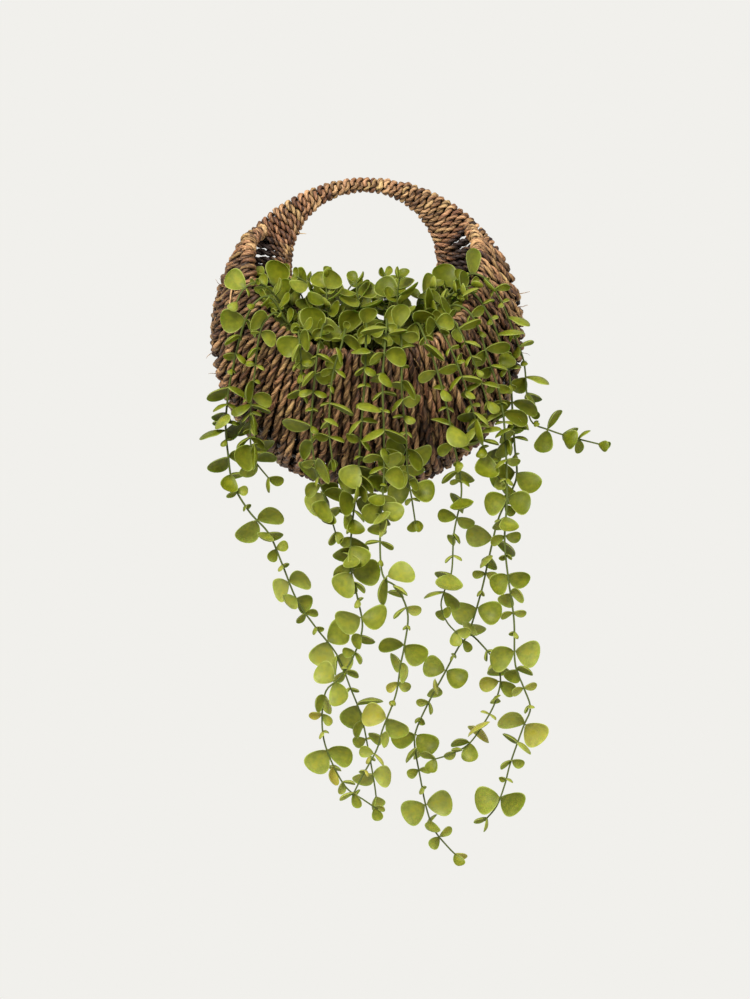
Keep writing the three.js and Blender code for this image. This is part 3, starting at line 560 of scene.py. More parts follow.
chance = np.random.default_rng(41)
columns = np.linspace(*POCKET_ENDS, TURNS_ON_POCKET + 1)
winding = [pocket_turn(*turn, chance) for turn in zip(columns, columns[1:])]
pocket_rope = [lay_rope(np.vstack(winding), 2.7, 43, 7, POCKET_LAY)]
for _ in range(LOOSE_FIBRES):
    column = chance.uniform(4.5, 39.5)
    start = on_wall(column, chance.uniform(0.0, 1.0), LAYER + 2.6)
    way = at_column(down_wall, column) * chance.choice([-1, 1])
    way = way + at_column(wall_out, column) * chance.uniform(0.0, 0.45)
    way = way + chance.normal(0, 0.35, 3)
    length, radius = chance.uniform(4, 13), chance.uniform(0.15, 0.38)
    pocket_rope.append(loose_end(start, way, length, radius, chance))
# Longer ones stand off the edge, and one pale blade lies loose on the left of the wall.
for x, z, way, length, radius in (
    (-133.5, -141, (-0.8, -0.2, -0.6), 9, 0.45),
    (-130.0, -160, (-0.9, -0.3, -0.45), 8, 0.4),
    (136.0, -90, (1.0, -0.2, 0.3), 11, 0.5),
    (136.5, -101, (1.0, -0.3, -0.2), 9, 0.4),
    (135.5, -112, (0.8, -0.4, -0.7), 8, 0.4),
    (-59.0, -35, (1.0, -0.4, -0.6), 9, 0.6),
):
    pocket_rope.append(loose_end((x, -4.0, z), way, length, radius, chance))
blade = on_wall([6.0, 6.7, 7.4, 8.2], [0.2, 0.29, 0.35, 0.44], LAYER + 4.2)
corners, faces = tube_mesh(evenly(blade, 12), 0.8, 6)
looks = np.tile([1.0, 0.4, 0.0], (len(corners), 1))
pocket_rope.append((corners, faces, corners * [1, 1, 0.2], looks))
rope_piece("pocket_rope", pocket_rope, brown_seagrass, ["rope_front_panel"])


# The block that the stems stand in.
# A block of dark dry foam wedged in the pocket, with a thin dressing of fibre on top. Almost all
# of it is hidden by the leaves; its size and its dressing are guessed.

BLOCK_TOP, BLOCK_BOTTOM = -150.0, -204.0
TOP_SHAPE = [(-58, -7.2), (58, -7.2), (58, -76), (32, -88), (-32, -88), (-58, -76)]
BOTTOM_SHAPE = [(-46, -7.2), (46, -7.2), (46, -50), (26, -60), (-26, -60), (-46, -50)]
BLOCK_SIDES = 48
COIR_FIBRES = 150

dry_foam, tree, shader = new_material("Dry floral foam", {"Roughness": 0.95})
# The foam's open cells are about 0.1 mm across, so from the front they only make it dull.
cells = node(tree, "TexVoronoi", inputs={"Scale": 900.0}).outputs[0]
shade = node(tree, "ValToRGB", inputs={0: cells})
stops = shade.color_ramp.elements
stops[0].color, stops[1].color = linear("#1F1A12"), linear("#4A4030")
pits = node(tree, "Bump", inputs={"Strength": 0.6, "Distance": 0.001, "Height": cells})
plug(shader, {"Base Color": shade.outputs[0], "Normal": pits.outputs[0]})
coir, tree, shader = new_material("Coir fibre", {"Roughness": 0.8})
# Coconut fibre turns from dark to light brown within about a millimetre.
hairs = node(tree, "TexNoise", inputs={"Scale": 120.0})
browns = node(tree, "ValToRGB", inputs={0: hairs.outputs[0]})
stops = browns.color_ramp.elements
stops[0].color, stops[1].color = linear("#3A2A1A"), linear("#8A6A44")
plug(shader, {"Base Color": browns.outputs[0]})

rings = []
for share in np.linspace(0, 1, 13):
    edge = np.array(TOP_SHAPE) * (1 - share) + np.array(BOTTOM_SHAPE) * share
    closed = evenly(np.c_[np.vstack([edge, edge[:1]]), np.zeros(7)], BLOCK_SIDES + 1)[:-1]
    closed[:, 2] = BLOCK_TOP + (BLOCK_BOTTOM - BLOCK_TOP) * share
    rings.append(closed)
top_middle, base_middle = rings[0].mean(0), rings[-1].mean(0)
chance = np.random.default_rng(51)
caps = [top_middle + (rings[0] - top_middle) * s for s in (0.25, 0.5, 0.75)]
for cap in caps:
    cap[:, 2] += chance.uniform(-1.2, 0.6, len(cap))
corners = np.vstack(caps + rings + [top_middle, base_middle])
faces = closed_skin(len(caps + rings), BLOCK_SIDES)
foam_faces = len(faces)
fibres = [(corners, faces)]
for _ in range(COIR_FIBRES):
    # A fibre wanders over the top of the block and stays on it.
    start = [chance.uniform(*span) for span in ((-52, 52), (-74, -14), (0.4, 2.5))]
    points, heading = [np.add(start, [0, 0, BLOCK_TOP])], chance.uniform(0, 2 * np.pi)
    for _ in range(7):
        heading += chance.normal(0, 0.5)
        hop = [3.4 * math.cos(heading), 3.4 * math.sin(heading), chance.normal(0, 0.8)]
        points.append(np.clip(points[-1] + hop, [-56, -79, BLOCK_TOP], [56, -9, BLOCK_TOP + 6]))
    fibres.append(tube_mesh(evenly(points, 10), 0.35, 4))
corners, faces = join_up(fibres)
marks = [0] * foam_faces + [1] * (len(faces) - foam_faces)
dress(
    "dressed_block", corners, faces, [dry_foam, coir], ["growing_block"],
    marks=marks,
)


# The leafy sprays.
# Moulded foliage: waxy round leaves in opposite pairs on thin wired stems, large and small in
# turn. Each spray is pushed into the block, rises over the rim and hangs or stands by itself.

# Of each spray: the gap between its pairs, how many gaps are bare at its foot, which size of leaf
# comes first, the angle of its first pair, its place in the block, and its route from there.
SPRAYS = {
    "left_long": (15.5, 4, 1, 20, (-56, -58), [
        (-68, -72, -116), (-80, -83, -99), (-92, -88, -104), (-101, -85, -120), (-107, -79, -139),
        (-112, -72, -158), (-116, -66, -178), (-119, -60, -207), (-117, -56, -234),
        (-113, -54, -258), (-99, -54, -282), (-82, -56, -301), (-71, -56, -326), (-58, -56, -358),
        (-43, -56, -380), (-23, -56, -406), (-12, -56, -433), (-2, -56, -459), (4, -56, -488),
        (9, -56, -516), (11, -56, -531),
    ]),
    "left_short": (14, 4, 2, 60, (-44, -60), [
        (-62, -78, -124), (-74, -92, -113), (-85, -99, -123), (-90, -97, -142), (-92, -90, -160),
        (-95, -84, -180), (-97, -77, -200), (-97, -73, -221), (-94, -73, -237), (-80, -75, -255),
    ]),
    "front_twig": (11, 5, 2, 0, (-38, -74), [
        (-54, -100, -126), (-53, -117, -144), (-52, -116, -163), (-54, -110, -181),
    ]),
    "front_left": (14, 4, 3, 80, (-20, -76), [
        (-15, -102, -126), (-19, -123, -145), (-24, -124, -160), (-27, -121, -177),
        (-29, -112, -211), (-26, -108, -240),
    ]),
    "bottom_left": (15, 5, 2, 10, (-28, -64), [
        (-33, -98, -123), (-37, -122, -141), (-41, -121, -171), (-44, -110, -213),
        (-40, -102, -247), (-32, -98, -272), (-23, -98, -302),
    ]),
    "centre_long": (15.5, 5, 0, 40, (-6, -72), [
        (2, -100, -123), (2, -124, -143), (1, -125, -172), (-2, -117, -213), (-5, -108, -255),
        (-10, -104, -297), (-11, -104, -328), (-5, -104, -355), (-1, -104, -380), (-9, -104, -405),
        (-21, -104, -423), (-32, -104, -434), (-35, -104, -459), (-31, -104, -483),
        (-16, -104, -513), (0, -104, -525), (12, -104, -533),
    ]),
    "centre_fall": (16, 5, 2, 0, (8, -64), [
        (19, -98, -119), (18, -125, -141), (16, -127, -172), (17, -121, -213), (17, -122, -255),
        (14, -128, -297), (16, -134, -334), (28, -134, -345), (37, -134, -367), (34, -134, -394),
        (31, -134, -409), (27, -134, -434), (16, -134, -463), (11, -134, -480), (-1, -134, -502),
        (-9, -134, -518),
    ]),
    "front_right": (14, 4, 0, 70, (16, -76), [
        (29, -102, -125), (32, -122, -143), (32, -122, -172), (33, -117, -193), (36, -109, -216),
        (37, -101, -247), (41, -98, -272), (44, -98, -292),
    ]),
    "right_fall": (16, 5, 3, 30, (30, -68), [
        (44, -94, -122), (51, -113, -134), (60, -115, -158), (69, -106, -188), (76, -94, -222),
        (82, -88, -250), (83, -86, -270), (77, -85, -300), (75, -84, -333), (69, -84, -349),
        (66, -84, -362), (71, -84, -376), (80, -84, -386),
    ]),
    "right_spray": (13.5, 5, 1, 50, (40, -72), [
        (56, -92, -120), (66, -106, -130), (76, -106, -150), (86, -99, -176), (95, -90, -202),
        (102, -81, -226), (108, -75, -240), (117, -74, -255),
    ]),
    "right_bright": (13, 5, 2, 20, (48, -60), [
        (61, -76, -124), (66, -88, -116), (74, -100, -118), (83, -101, -132), (92, -96, -152),
        (100, -88, -172), (106, -82, -190),
    ]),
    "right_long": (15.5, 5, 3, 10, (50, -28), [
        (66, -42, -120), (75, -58, -105), (82, -73, -95), (88, -80, -92), (98, -81, -100),
        (107, -75, -114), (115, -68, -130), (122, -60, -150), (127, -54, -172), (129, -49, -200),
        (131, -45, -226), (133, -42, -250), (128, -42, -265), (117, -44, -288), (109, -46, -320),
        (102, -46, -351), (91, -46, -387), (82, -46, -400), (68, -46, -426), (56, -46, -448),
        (46, -46, -470), (44, -46, -484), (49, -46, -513), (54, -46, -538), (61, -46, -558),
        (73, -46, -573), (81, -46, -581),
    ]),
    "right_trail": (16.5, 6, 2, 45, (54, -46), [
        (65, -62, -122), (71, -76, -112), (77, -87, -106), (89, -93, -112), (98, -89, -127),
        (105, -82, -148), (113, -76, -170), (119, -74, -195), (121, -77, -220), (122, -82, -246),
        (122, -86, -274), (120, -87, -306), (123, -87, -338), (128, -86, -374), (129, -86, -411),
        (136, -86, -431), (142, -86, -449), (136, -86, -465), (125, -86, -496), (120, -86, -515),
        (113, -86, -533), (103, -86, -545),
    ]),
    "far_right": (14, 7, 3, 20, (60, -16), [
        (80, -32, -108), (86, -51, -90), (91, -65, -78), (103, -70, -81), (113, -64, -92),
        (122, -57, -108), (131, -51, -131), (139, -46, -153), (142, -42, -185), (146, -40, -204),
        (161, -39, -211), (179, -41, -217), (206, -45, -224),
    ]),
    "top_1": (11, 4, 0, 0, (-58, -22), [
        (-57, -32, -113), (-68, -35, -97), (-79, -37, -85), (-89, -38, -76),
    ]),
    "top_2": (11, 4, 1, 40, (-42, -18), [
        (-47, -24, -116), (-52, -27, -99), (-60, -31, -84), (-68, -34, -77),
    ]),
    "top_3": (11, 4, 2, 70, (-52, -40), [
        (-64, -54, -114), (-79, -66, -93), (-92, -77, -86), (-103, -82, -93), (-109, -83, -105),
    ]),
    "top_4": (11, 4, 3, 20, (-33, -38), [
        (-38, -46, -116), (-40, -52, -99), (-48, -56, -86), (-58, -58, -79),
    ]),
    "top_5": (11, 4, 0, 90, (-20, -52), [
        (-28, -64, -124), (-31, -72, -107), (-32, -74, -91), (-31, -76, -80),
    ]),
    "top_6": (11, 4, 1, 50, (-12, -24), [
        (-12, -32, -124), (-14, -36, -108), (-16, -38, -94), (-10, -40, -84),
    ]),
    "top_7": (11, 4, 2, 60, (1, -46), [
        (0, -60, -122), (-3, -68, -107), (-6, -72, -94), (-6, -74, -84),
    ]),
    "top_8": (11, 4, 0, 10, (14, -26), [
        (18, -34, -120), (18, -36, -103), (19, -40, -88), (18, -44, -76),
    ]),
    "top_9": (11, 4, 1, 60, (20, -50), [
        (28, -66, -122), (29, -76, -108), (29, -80, -94), (31, -82, -82),
    ]),
    "top_10": (11, 4, 3, 50, (33, -30), [
        (42, -42, -121), (47, -46, -107), (50, -50, -95), (59, -54, -87),
    ]),
    "top_11": (11, 4, 2, 0, (36, -52), [
        (52, -64, -119), (66, -71, -103), (80, -74, -93), (94, -76, -88),
    ]),
    "top_12": (11, 4, 2, 30, (40, -14), [
        (56, -18, -114), (66, -20, -100), (76, -20, -88), (84, -20, -78),
    ]),
}
# A second stem that parts from the spray's own on its way.
BRANCHES = {
    "right_long": [
        (91, -46, -387), (100, -50, -395), (113, -56, -411), (118, -58, -427), (113, -60, -447),
        (103, -62, -465), (90, -66, -482), (74, -72, -490), (59, -78, -494),
    ],
}
FOOT_LEVELS = (-168, -158, -148, -138)  # a spray stands straight up through these
# Of each size of leaf: length, width over length, and how much it rolls against the others.
LEAF_SIZES = ((23.0, 0.92, 1.6), (18.0, 0.86, 1.0), (13.0, 0.76, 0.85), (9.0, 0.64, 0.35))
SMALL = 3  # the last of them, which fits in only where a larger leaf didn't
SMALLEST = 9.5  # length that a larger leaf is never shrunk below
# How far leaves roll towards the front, by height: least over the basket's face, where most are
# seen from the side, and most where the sprays hang free.
ROLL_HEIGHTS, ROLL_SHARES = (-260, -215, -105, -75), (0.8, 0.23, 0.23, 0.5)
# A leaf is turned round its stem by these angles and shrunk by these factors until it finds room.
TRIES = ((0, 1), (30, 1), (-30, 1), (30, 0.8), (-30, 0.8), (0, 0.65))
SMALL_TRIES = ((0, 1), (40, 1), (-40, 1), (0, 0.75), (40, 0.75), (-40, 0.75), (0, 0.55))
EXTRA_TRIES = ((45, 1), (80, 1), (10, 1), (45, 0.8), (80, 0.8), (10, 0.8), (45, 0.6), (80, 0.5))
PROBE = 2.3  # room that a leaf keeps round itself
EXTRA_PROBE = 1.3  # the same for the extra pairs, which stand closer to their neighbours
FURTHEST_BACK = 3.0  # y that no leaf reaches past
HOLE_CLEAR_TO = -70.0  # z down to which no leaf stands in the hand hole
NEIGHBOURS = 32.0  # how far from its middle a leaf can touch others
# Room kept to the middle of the pocket's wall, of its wires, of the ring, of the block's top and of
# a stem.
WALL_ROOM, WIRE_ROOM, RING_ROOM, BLOCK_ROOM, STEM_ROOM = 6.5, 7.6, 7.8, 7.5, 1.6


def draw(spray, pair, use):
    """The same number between 0 and 1 for the same spray, pair and use."""
    wave = math.sin(spray * 12.9898 + pair * 78.233 + use * 37.719) * 43758.5453
    return wave - math.floor(wave)


def smooth_route(points):
    """The length of a smooth curve through a route, and its points at any number of even steps."""
    p = np.array(points, float)
    p = np.vstack([2 * p[0] - p[1], p, 2 * p[-1] - p[-2]])

    def at(t):
        place = t * (len(points) - 1)
        i = np.minimum(np.floor(place).astype(int), len(points) - 2)
        w = (place - i)[:, None]
        a, b, c, d = p[i], p[i + 1], p[i + 2], p[i + 3]
        va, vb = 0.5 * (c - a), 0.5 * (d - b)
        return (2 * b - 2 * c + va + vb) * w**3 + (-3 * b + 3 * c - 2 * va - vb) * w**2 + va * w + b

    even = np.linspace(0, 1, 201)
    reach = reach_along(at(even))
    return reach[-1], lambda count: at(np.interp(np.linspace(0, reach[-1], count + 1), reach, even))


def stretches(name):
    """A spray and its branch: even points, three directions at each step, bare steps, fine line.

    The directions are two square to the step and one along it.
    """
    pitch, bare, _, _, foot, route = SPRAYS[name]
    main = [(*foot, z) for z in FOOT_LEVELS] + route
    made = []
    for points, bare_steps in ((main, bare), (BRANCHES.get(name), 1)):
        if points is None:
            continue
        length, spaced = smooth_route(points)
        count = math.floor(length / pitch + 0.5)
        line = spaced(count)
        u, steps = np.array([-1.0, 0, 0]), []
        for a, b in zip(line, line[1:]):
            along = unit(b - a)
            u = unit(u - along * (u @ along))
            steps.append((u, np.cross(along, u), along))
        made.append((line, steps, bare_steps, spaced(4 * count)))
    return made


BASKET, LEAVES = -1, -2  # owners of room beside the numbered sprays
NUMBERS = {name: number for number, name in enumerate(SPRAYS)}
runs = {name: stretches(name) for name in SPRAYS}
leaves = {name: [] for name in SPRAYS}
taken = {"place": np.zeros((0, 3)), "size": np.zeros(0), "owner": np.zeros(0)}


def take(points, size, owner):
    """Marks the room round these points as taken by an owner."""
    taken["place"] = np.vstack([taken["place"], points])
    taken["size"] = np.r_[taken["size"], np.broadcast_to(size, len(points))]
    taken["owner"] = np.r_[taken["owner"], np.full(len(points), owner)]


def take_line(a, b, count, size, owner):
    """Marks the room along a straight line of this many steps."""
    take(a + (b - a) * np.linspace(0, 1, count + 1)[:, None], size, owner)


shares = np.linspace(0, 1, 13)
for column in range(COLUMNS):
    between_wires = (shares > 0) & (shares < 1)
    room = np.where(between_wires, WALL_ROOM, WIRE_ROOM)
    take(on_wall(np.full(13, column), shares), room, BASKET)
    take_line(low_hoop[column], ring_side[column], 4, WALL_ROOM, BASKET)
for angle in 2 * np.pi * np.arange(90) / 90:
    inner, outer = on_circle(angle, HAND_HOLE, HOOP), on_circle(angle, OUTLINE, -HOOP)
    take_line(inner, outer, 10, RING_ROOM, BASKET)
for x in range(-55, 56, 10):
    back, front = np.array([[x, -12.0, BLOCK_TOP - 6], [x, -82.0, BLOCK_TOP - 6]])
    take_line(back, front, 8, BLOCK_ROOM, BASKET)
for name, parts in runs.items():
    for line, *_ in parts:
        for a, b in zip(line, line[1:]):
            take_line(a, b, 4, STEM_ROOM, NUMBERS[name])


def probes_on(leaf):
    """Points spread over a leaf, from which its room is measured."""
    base, axis, across, _, length, width = leaf
    rows = max(2, math.floor(length / 5 + 0.5))
    points = []
    for u in np.arange(1, rows + 1) / rows:
        turn = math.acos(1 - 2 * u)
        half = 0.435 * math.sin(turn) * (1 - 0.75 * math.cos(turn))
        columns = math.floor(half * width / 4.5)
        for j in range(-columns, columns + 1):
            v = half * j / columns if columns else 0
            points.append(base + axis * u * length + across * v * width)
    return np.array(points)


def is_free(points, owner, reach):
    """Whether a leaf with these points clears the wall, the hand hole and all but its own spray."""
    x, y, z = points.T
    in_hole = np.hypot(x - HAND_HOLE[0], z - HAND_HOLE[1]) < HAND_HOLE[2]
    if y.max() > FURTHEST_BACK or (in_hole & (z > HOLE_CLEAR_TO)).any():
        return False
    near = (np.abs(taken["place"] - points.mean(0)) < NEIGHBOURS).all(1)
    near &= taken["owner"] != owner
    gap = ((points[:, None] - taken["place"][near]) ** 2).sum(2)
    return not (gap < (taken["size"][near] - PROBE + 2 * reach) ** 2).any()


def leaf_at(name, base, step, pair, side, turned, shrink, kind, last):
    """A leaf: its base, the ways along it, across it and out of its hollow face, and its size.

    By its draws its length varies by 12 % and its place round the stem by 12 degrees either way,
    and it stands 42 to 88 degrees off the stem.
    """
    u, v, along = step
    number, (_, _, phase, aim, *_) = NUMBERS[name], SPRAYS[name]
    if kind is None:
        kind = 2 if last else (pair + phase) % 4
    length, shape, rolls = LEAF_SIZES[kind]
    length *= (0.88 + 0.24 * draw(number, pair, 1)) * shrink
    angle = math.radians(aim + 90 * pair + 180 * side + 24 * (draw(number, pair, 2) - 0.5) + turned)
    out = u * math.cos(angle) + v * math.sin(angle)
    tilt = math.radians(40 if last else 42 + 46 * draw(number, pair, 3 + side))
    axis = out * math.sin(tilt) + along * math.cos(tilt)
    face = unit(along - axis * (along @ axis))
    square = np.cross(axis, face)
    share = np.interp(base[2], ROLL_HEIGHTS, ROLL_SHARES) * (0.4 + draw(number, pair, 7 + side))
    to_front = min(1, share * rolls) * math.atan2(-square[1], -face[1])
    roll = to_front + 1.3 * (draw(number, pair, 5 + side) - 0.5)
    face = face * math.cos(roll) + square * math.sin(roll)
    return base, axis, np.cross(face, axis), face, length, length * shape


def grow(name, base, step, pair, side, tries, kind=None, last=False, reach=PROBE):
    """Adds the first of these tries at a leaf that finds room, and says whether one did."""
    for turned, shrink in tries:
        leaf = leaf_at(name, base, step, pair, side, turned, shrink, kind, last)
        points = probes_on(leaf)[1 if kind == SMALL else 0 :]
        if (kind is None and leaf[4] < SMALLEST) or not is_free(points, NUMBERS[name], reach):
            continue
        take(points, PROBE, LEAVES)
        leaves[name].append(leaf)
        return True
    return False


missing = []
for name in SPRAYS:
    for line, steps, bare, _ in runs[name]:
        for i in range(bare, len(steps)):
            last = i == len(steps) - 1
            base = line[i] + (line[i + 1] - line[i]) * (0.8 if last else 0.5)
            for side in (0, 1):
                place = (name, base, steps[i], i - bare, side)
                if not grow(*place, TRIES, last=last):
                    missing.append(place)
# Where no leaf of the larger sizes found room, a small one of 5 to 9 mm has grown.
for place in missing:
    grow(*place, SMALL_TRIES, SMALL)

# At the pocket's mouth and under the basket the sprays are bushier, with extra pairs between the
# others: between these heights, one at the foot of each, and all along the later short ones.
BUSHY = {
    "front_left": (-232, -330), "bottom_left": (-232, -340), "centre_long": (-236, -350),
    "centre_fall": (-236, -300), "front_right": (-232, -330), "right_fall": (-235, -275),
    "right_spray": (-195, -275), "right_long": (-190, -240), "right_trail": (-190, -240),
    "left_short": (-190, -270), "left_long": (-190, -235),
}
for name, number in NUMBERS.items():
    line, steps, bare, _ = runs[name][0]
    top, bottom = BUSHY.get(name, (0, 0))
    below = [i for i in range(len(steps)) if bottom < line[i][2] < top]
    extra = [*range(bare - 1, len(steps) if number >= NUMBERS["top_4"] else bare)]
    if below:
        extra += range(below[0], below[-1])
    for i in extra:
        for side in (0, 1):
            kind = (i + number) % 2
            grow(name, line[i], steps[i], i + 50, side, EXTRA_TRIES, kind, reach=EXTRA_PROBE)

ROWS, SPAN = 14, 10  # a blade's mesh along and across
CUP = 0.13  # depth of a leaf's hollow over its length
DEEPEST = 0.6  # how far along the leaf its hollow is deepest


def blade_faces():
    """The faces of a blade: its upper and lower side, its two edges and its two ends."""
    n, under = SPAN + 1, (ROWS + 1) * (SPAN + 1)
    faces = []
    for i in range(ROWS):
        for k in range(SPAN):
            a, d = i * n + k, (i + 1) * n + k
            faces += [[a, d, d + 1, a + 1], [under + a, under + a + 1, under + d + 1, under + d]]
        a, d = i * n, (i + 1) * n
        b, c = a + SPAN, d + SPAN
        faces += [[a, under + a, under + d, d], [b, c, under + c, under + b]]
    for k in range(SPAN):
        a = ROWS * n + k
        faces += [[k, k + 1, under + k + 1, under + k], [a, under + a, under + a + 1, a + 1]]
    return faces


def blade_mesh(leaf, spray, order):
    """Corners and painted values of a cupped, slightly wavy blade, at most 0.84 mm thick."""
    base, axis, across, face, length, width = leaf
    chance = [draw(spray, order, 20 + k) - 0.5 for k in range(5)]
    u = (1 - np.cos(np.pi * (np.arange(ROWS + 1) / ROWS))) / 2
    u[0], u[-1] = 0.0, 0.992
    turn = np.arccos(1 - 2 * np.clip((u - 0.06) / 0.935, 0, 1))
    half = np.maximum(0.45, 0.49 * np.sin(turn) * (1 - 0.36 * np.cos(turn)) * width)
    U, W = np.meshgrid(u, np.sin(np.linspace(-1, 1, SPAN + 1) * np.pi / 2), indexing="ij")
    # It is hollow, with a sunken midrib and a raised rim, and its edges wave and its tip curls.
    dip = 1 - ((U - DEEPEST) / np.where(U < DEEPEST, DEEPEST, 1 - DEEPEST)) ** 2
    height = -CUP * length * (1 - W**2) * dip
    height -= 0.25 * np.exp(-((W / 0.09) ** 2)) * dip
    out_to_rim = np.maximum(np.abs(W), (U - 0.7) / 0.3)
    height += 0.6 * np.exp(-(((out_to_rim - 0.97) / 0.09) ** 2))
    height += 0.035 * width * chance[0] * np.sin(3.1 * U * np.pi + chance[1] * 6) * W**3
    height += 0.10 * length * chance[2] * U**2
    sway = 0.05 * length * chance[3] * np.sin(np.pi * U)
    thick = np.minimum(0.42, 0.2 + 0.05 * length) * np.sqrt(np.clip(1 - W**4, 0, 1))
    thick *= np.minimum(1, 6 * (1 - U) + 0.15)
    aside = W * half[:, None]
    flat = base + axis * (U * length)[..., None] + across * (aside + sway)[..., None]
    sides = [flat + face * (height + t)[..., None] for t in (thick, -thick)]
    edge = np.maximum(np.abs(W), np.clip((U - 0.75) / 0.25, 0, 1) ** 2)
    # Painted light: leaves that hang free are made lighter than those over the basket, as more
    # light reaches them.
    tone = 0.62 * (chance[4] + 0.5) + np.interp(base[2], (-360, -220), (0.38, 0))
    place = np.stack([U, edge, np.full(U.shape, tone)], -1)
    vein = np.stack([aside, U * length, np.full(U.shape, 13.0 * order)], -1)
    return [np.reshape(pair, (-1, 3)) for pair in (sides, [place, place], [vein, vein])]


waxy_leaf, tree, shader = new_material("Moulded leaf, waxy", {
    "IOR": 1.46,
    "Specular IOR Level": 0.2,
    "Subsurface Weight": 0.2,
    "Subsurface Radius": (0.002, 0.004, 0.001),
    "Subsurface Scale": 0.5,
})
place = node(tree, "Attribute", {"attribute_name": "on_blade"})
from_base, to_edge, tone = node(tree, "SeparateXYZ", inputs={0: place.outputs["Vector"]}).outputs
flat = node(tree, "Attribute", {"attribute_name": "blade_flat"}).outputs["Vector"]
greens = node(tree, "ValToRGB", inputs={0: tone})
stops = greens.color_ramp.elements
stops[0].color, stops[1].color = linear("#4E550A"), linear("#988C34")
for position, green in ((0.35, "#61670F"), (0.7, "#777D2C"), (0.92, "#888B3C")):
    stops.new(position).color = linear(green)
# The dye is cloudy over 4 to 8 mm.
cloud = node(tree, "TexNoise", inputs={"Vector": flat, "Scale": 0.2, "Detail": 3.0}).outputs[0]
light = node(tree, "MapRange", inputs={0: cloud, 1: 0.3, 2: 0.7, 3: 0.82, 4: 1.12})
dye = {"Color": greens.outputs[0], "Value": light.outputs[0]}
clouded = node(tree, "HueSaturation", inputs=dye)
# They have yellowed in patches in the middle, more on lighter leaves, so more where they hang free
# and are painted lighter.
inside = node(tree, "MapRange", SMOOTH, {0: to_edge, 1: 0.1, 2: 0.8, 3: 0.65, 4: 0.0})
patchy = node(tree, "MapRange", inputs={0: cloud, 1: 0.44, 2: 0.62, 3: 0.0, 4: tone})
yellowed = node(tree, "Math", TIMES, {0: inside.outputs[0], 1: patchy.outputs[0]})
# Painted shade: each leaf is darker towards its base, where the stem and its neighbours shade it.
shaded = node(tree, "MapRange", inputs={0: from_base, 1: 0.0, 2: 0.35, 3: 0.55, 4: 0.0})
# A pale rim about 0.7 mm wide is painted along the edge: a painted highlight on the raised rim.
rim_highlight = node(tree, "MapRange", SMOOTH, {0: to_edge, 1: 0.86, 2: 1.0, 3: 0.0, 4: 0.6})
colour = clouded.outputs[0]
for share, tint in ((yellowed, "#88801A"), (shaded, "#343B0C"), (rim_highlight, "#9CA256")):
    tints = {0: share.outputs[0], 6: colour, 7: linear(tint)}
    colour = node(tree, "Mix", OVER, tints).outputs[2]
# The wax is worn unevenly, so the gloss varies over a millimetre or less.
wax = node(tree, "TexNoise", inputs={"Vector": flat, "Scale": 1.4, "Detail": 4.0}).outputs[0]
gloss = node(tree, "MapRange", inputs={0: wax, 3: 0.38, 4: 0.58})
grain = node(tree, "Bump", inputs={"Strength": 0.25, "Distance": 0.0003, "Height": wax})
plug(shader, {
    "Base Color": colour, "Roughness": gloss.outputs[0], "Normal": grain.outputs[0]
})
wired_stem, tree, shader = new_material(
    "Moulded stem", {"Roughness": 0.6, "Specular IOR Level": 0.2}
)
# The stems' dye is a little darker and lighter every few millimetres.
streak = node(tree, "TexNoise", inputs={"Scale": 60.0, "Detail": 3.0})
stem_greens = node(tree, "ValToRGB", inputs={0: streak.outputs[0]})
stops = stem_greens.color_ramp.elements
stops[0].color, stops[1].color = linear("#323A12"), linear("#545E22")
plug(shader, {"Base Color": stem_greens.outputs[0]})

one_blade = blade_faces()
STALKS = ((1.1, 0.4), (0.85, 0.2))  # radius at the foot, and how much it thins, of stem and branch
for name, number in NUMBERS.items():
    stalks = [
        tube_mesh(fine, radius - thins * np.linspace(0, 1, len(fine)), ROUND)
        for (*_, fine), (radius, thins) in zip(runs[name], STALKS)
    ]
    blades = [blade_mesh(leaf, number, order) for order, leaf in enumerate(leaves[name])]
    corners, faces = join_up(stalks + [(blade[0], one_blade) for blade in blades])
    on_stalks = np.zeros((sum(len(points) for points, _ in stalks), 3))
    paint = {
        "on_blade": np.vstack([on_stalks] + [blade[1] for blade in blades]),
        "blade_flat": np.vstack([on_stalks] + [blade[2] for blade in blades]),
    }
    marks = [1] * sum(len(quads) for _, quads in stalks)
    marks += [0] * (len(faces) - len(marks))
    dress(
        name + "_spray", corners, faces, [waxy_leaf, wired_stem], ["stem_" + name],
        paint, marks,
    )


# The studio.
# A pale paper sweep behind and below, two large soft lamps and the camera of the photograph,
# level with the middle of the hanging plant and 2.2 m in front of it.

DISTANCE = 2200.0
HALF_HEIGHT = 442.56  # half the height that the picture covers at the basket
FLOOR = -2.8  # low enough that the hanging plant can also be seen from below; this and on in metres
FLOOR_END, BEND = 1.6, 1.2  # where the paper starts to rise, and the radius of its bend
PAPER_TOP, HALF_PAPER = 5.0, 6.0
PAPER = "#F1F0EC"

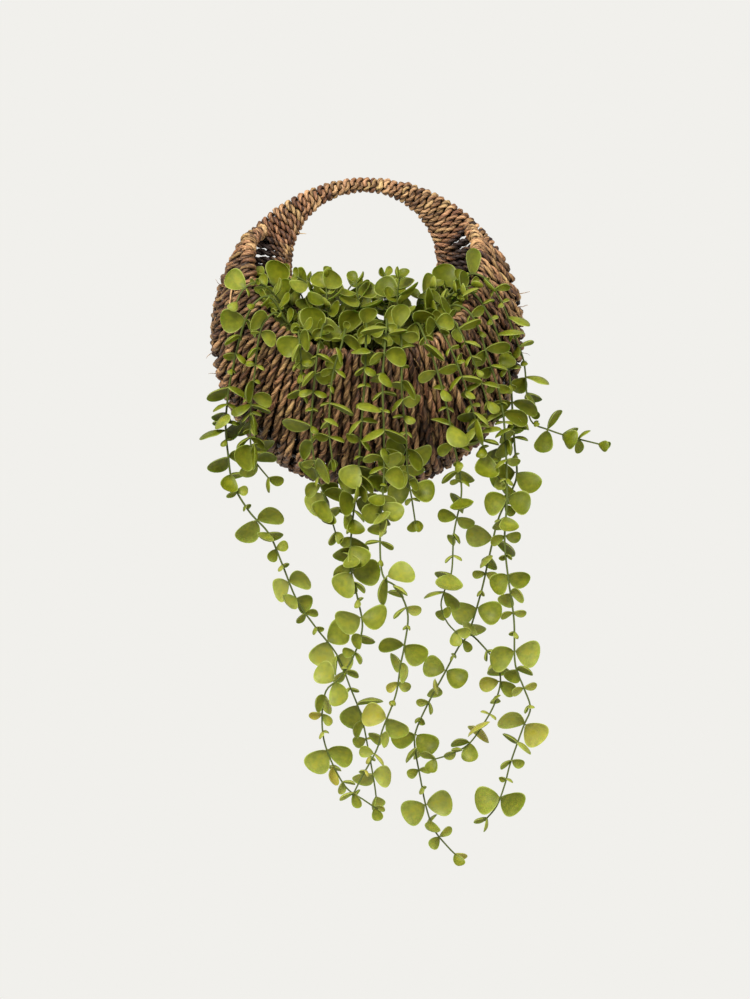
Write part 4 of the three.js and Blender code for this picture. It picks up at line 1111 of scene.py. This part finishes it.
sweep_paper, _, _ = new_material("White sweep paper", {
    "Base Color": linear("#000000"),
    "Roughness": 1.0,
    "Specular IOR Level": 0.0,
    "Emission Color": linear(PAPER),
    "Emission Strength": 1.0,
})
profile = [(-HALF_PAPER, FLOOR), (FLOOR_END, FLOOR)]
for t in np.linspace(0.1, math.pi / 2, 14):
    profile.append((FLOOR_END + BEND * math.sin(t), FLOOR + BEND * (1 - math.cos(t))))
profile.append((FLOOR_END + BEND, PAPER_TOP))
corners = [(x, y, z) for y, z in profile for x in (-HALF_PAPER, HALF_PAPER)]
faces = [[2 * i, 2 * i + 1, 2 * i + 3, 2 * i + 2] for i in range(len(profile) - 1)]
sweep_mesh = bpy.data.meshes.new("paper_sweep")
sweep_mesh.from_pydata(corners, [], faces)
sweep_mesh.shade_smooth()
sweep_mesh.materials.append(sweep_paper)
sweep = bpy.data.objects.new("paper_sweep", sweep_mesh)
bpy.context.scene.collection.objects.link(sweep)
sweep.visible_diffuse = False
sweep.visible_glossy = False
sweep.visible_transmission = False

world = bpy.data.worlds.new("Soft white room")
world.use_nodes = True
background = world.node_tree.nodes["Background"]
plug(background, {"Color": linear(PAPER), "Strength": 1.0})
bpy.context.scene.world = world
bpy.context.scene.view_settings.view_transform = "Standard"


def soft_lamp(name, place, aim, size, watts):
    """A square soft lamp that points from its place to its aim."""
    lamp = bpy.data.lights.new(name, "AREA")
    lamp.shape = "SQUARE"
    lamp.size = size
    lamp.energy = watts
    holder = bpy.data.objects.new(name, lamp)
    holder.location = place
    holder.rotation_mode = "QUATERNION"
    holder.rotation_quaternion = (Vector(aim) - Vector(place)).to_track_quat("-Z", "Y")
    bpy.context.scene.collection.objects.link(holder)


soft_lamp("key_softbox", (-0.9, -2.4, 1.5), (0, 0, -0.3), 1.0, 130.0)
soft_lamp("fill_softbox", (1.6, -2.2, -0.3), (0, 0, -0.35), 1.2, 34.0)

camera = bpy.data.cameras.new("camera")
camera.sensor_width = 36.0
camera.lens = 18.0 * DISTANCE / HALF_HEIGHT
holder = bpy.data.objects.new("camera", camera)
holder.location = (0.0097, -DISTANCE / 1000, -0.2716)
holder.rotation_euler = (math.pi / 2, 0, 0)
bpy.context.scene.collection.objects.link(holder)
bpy.context.scene.camera = holder
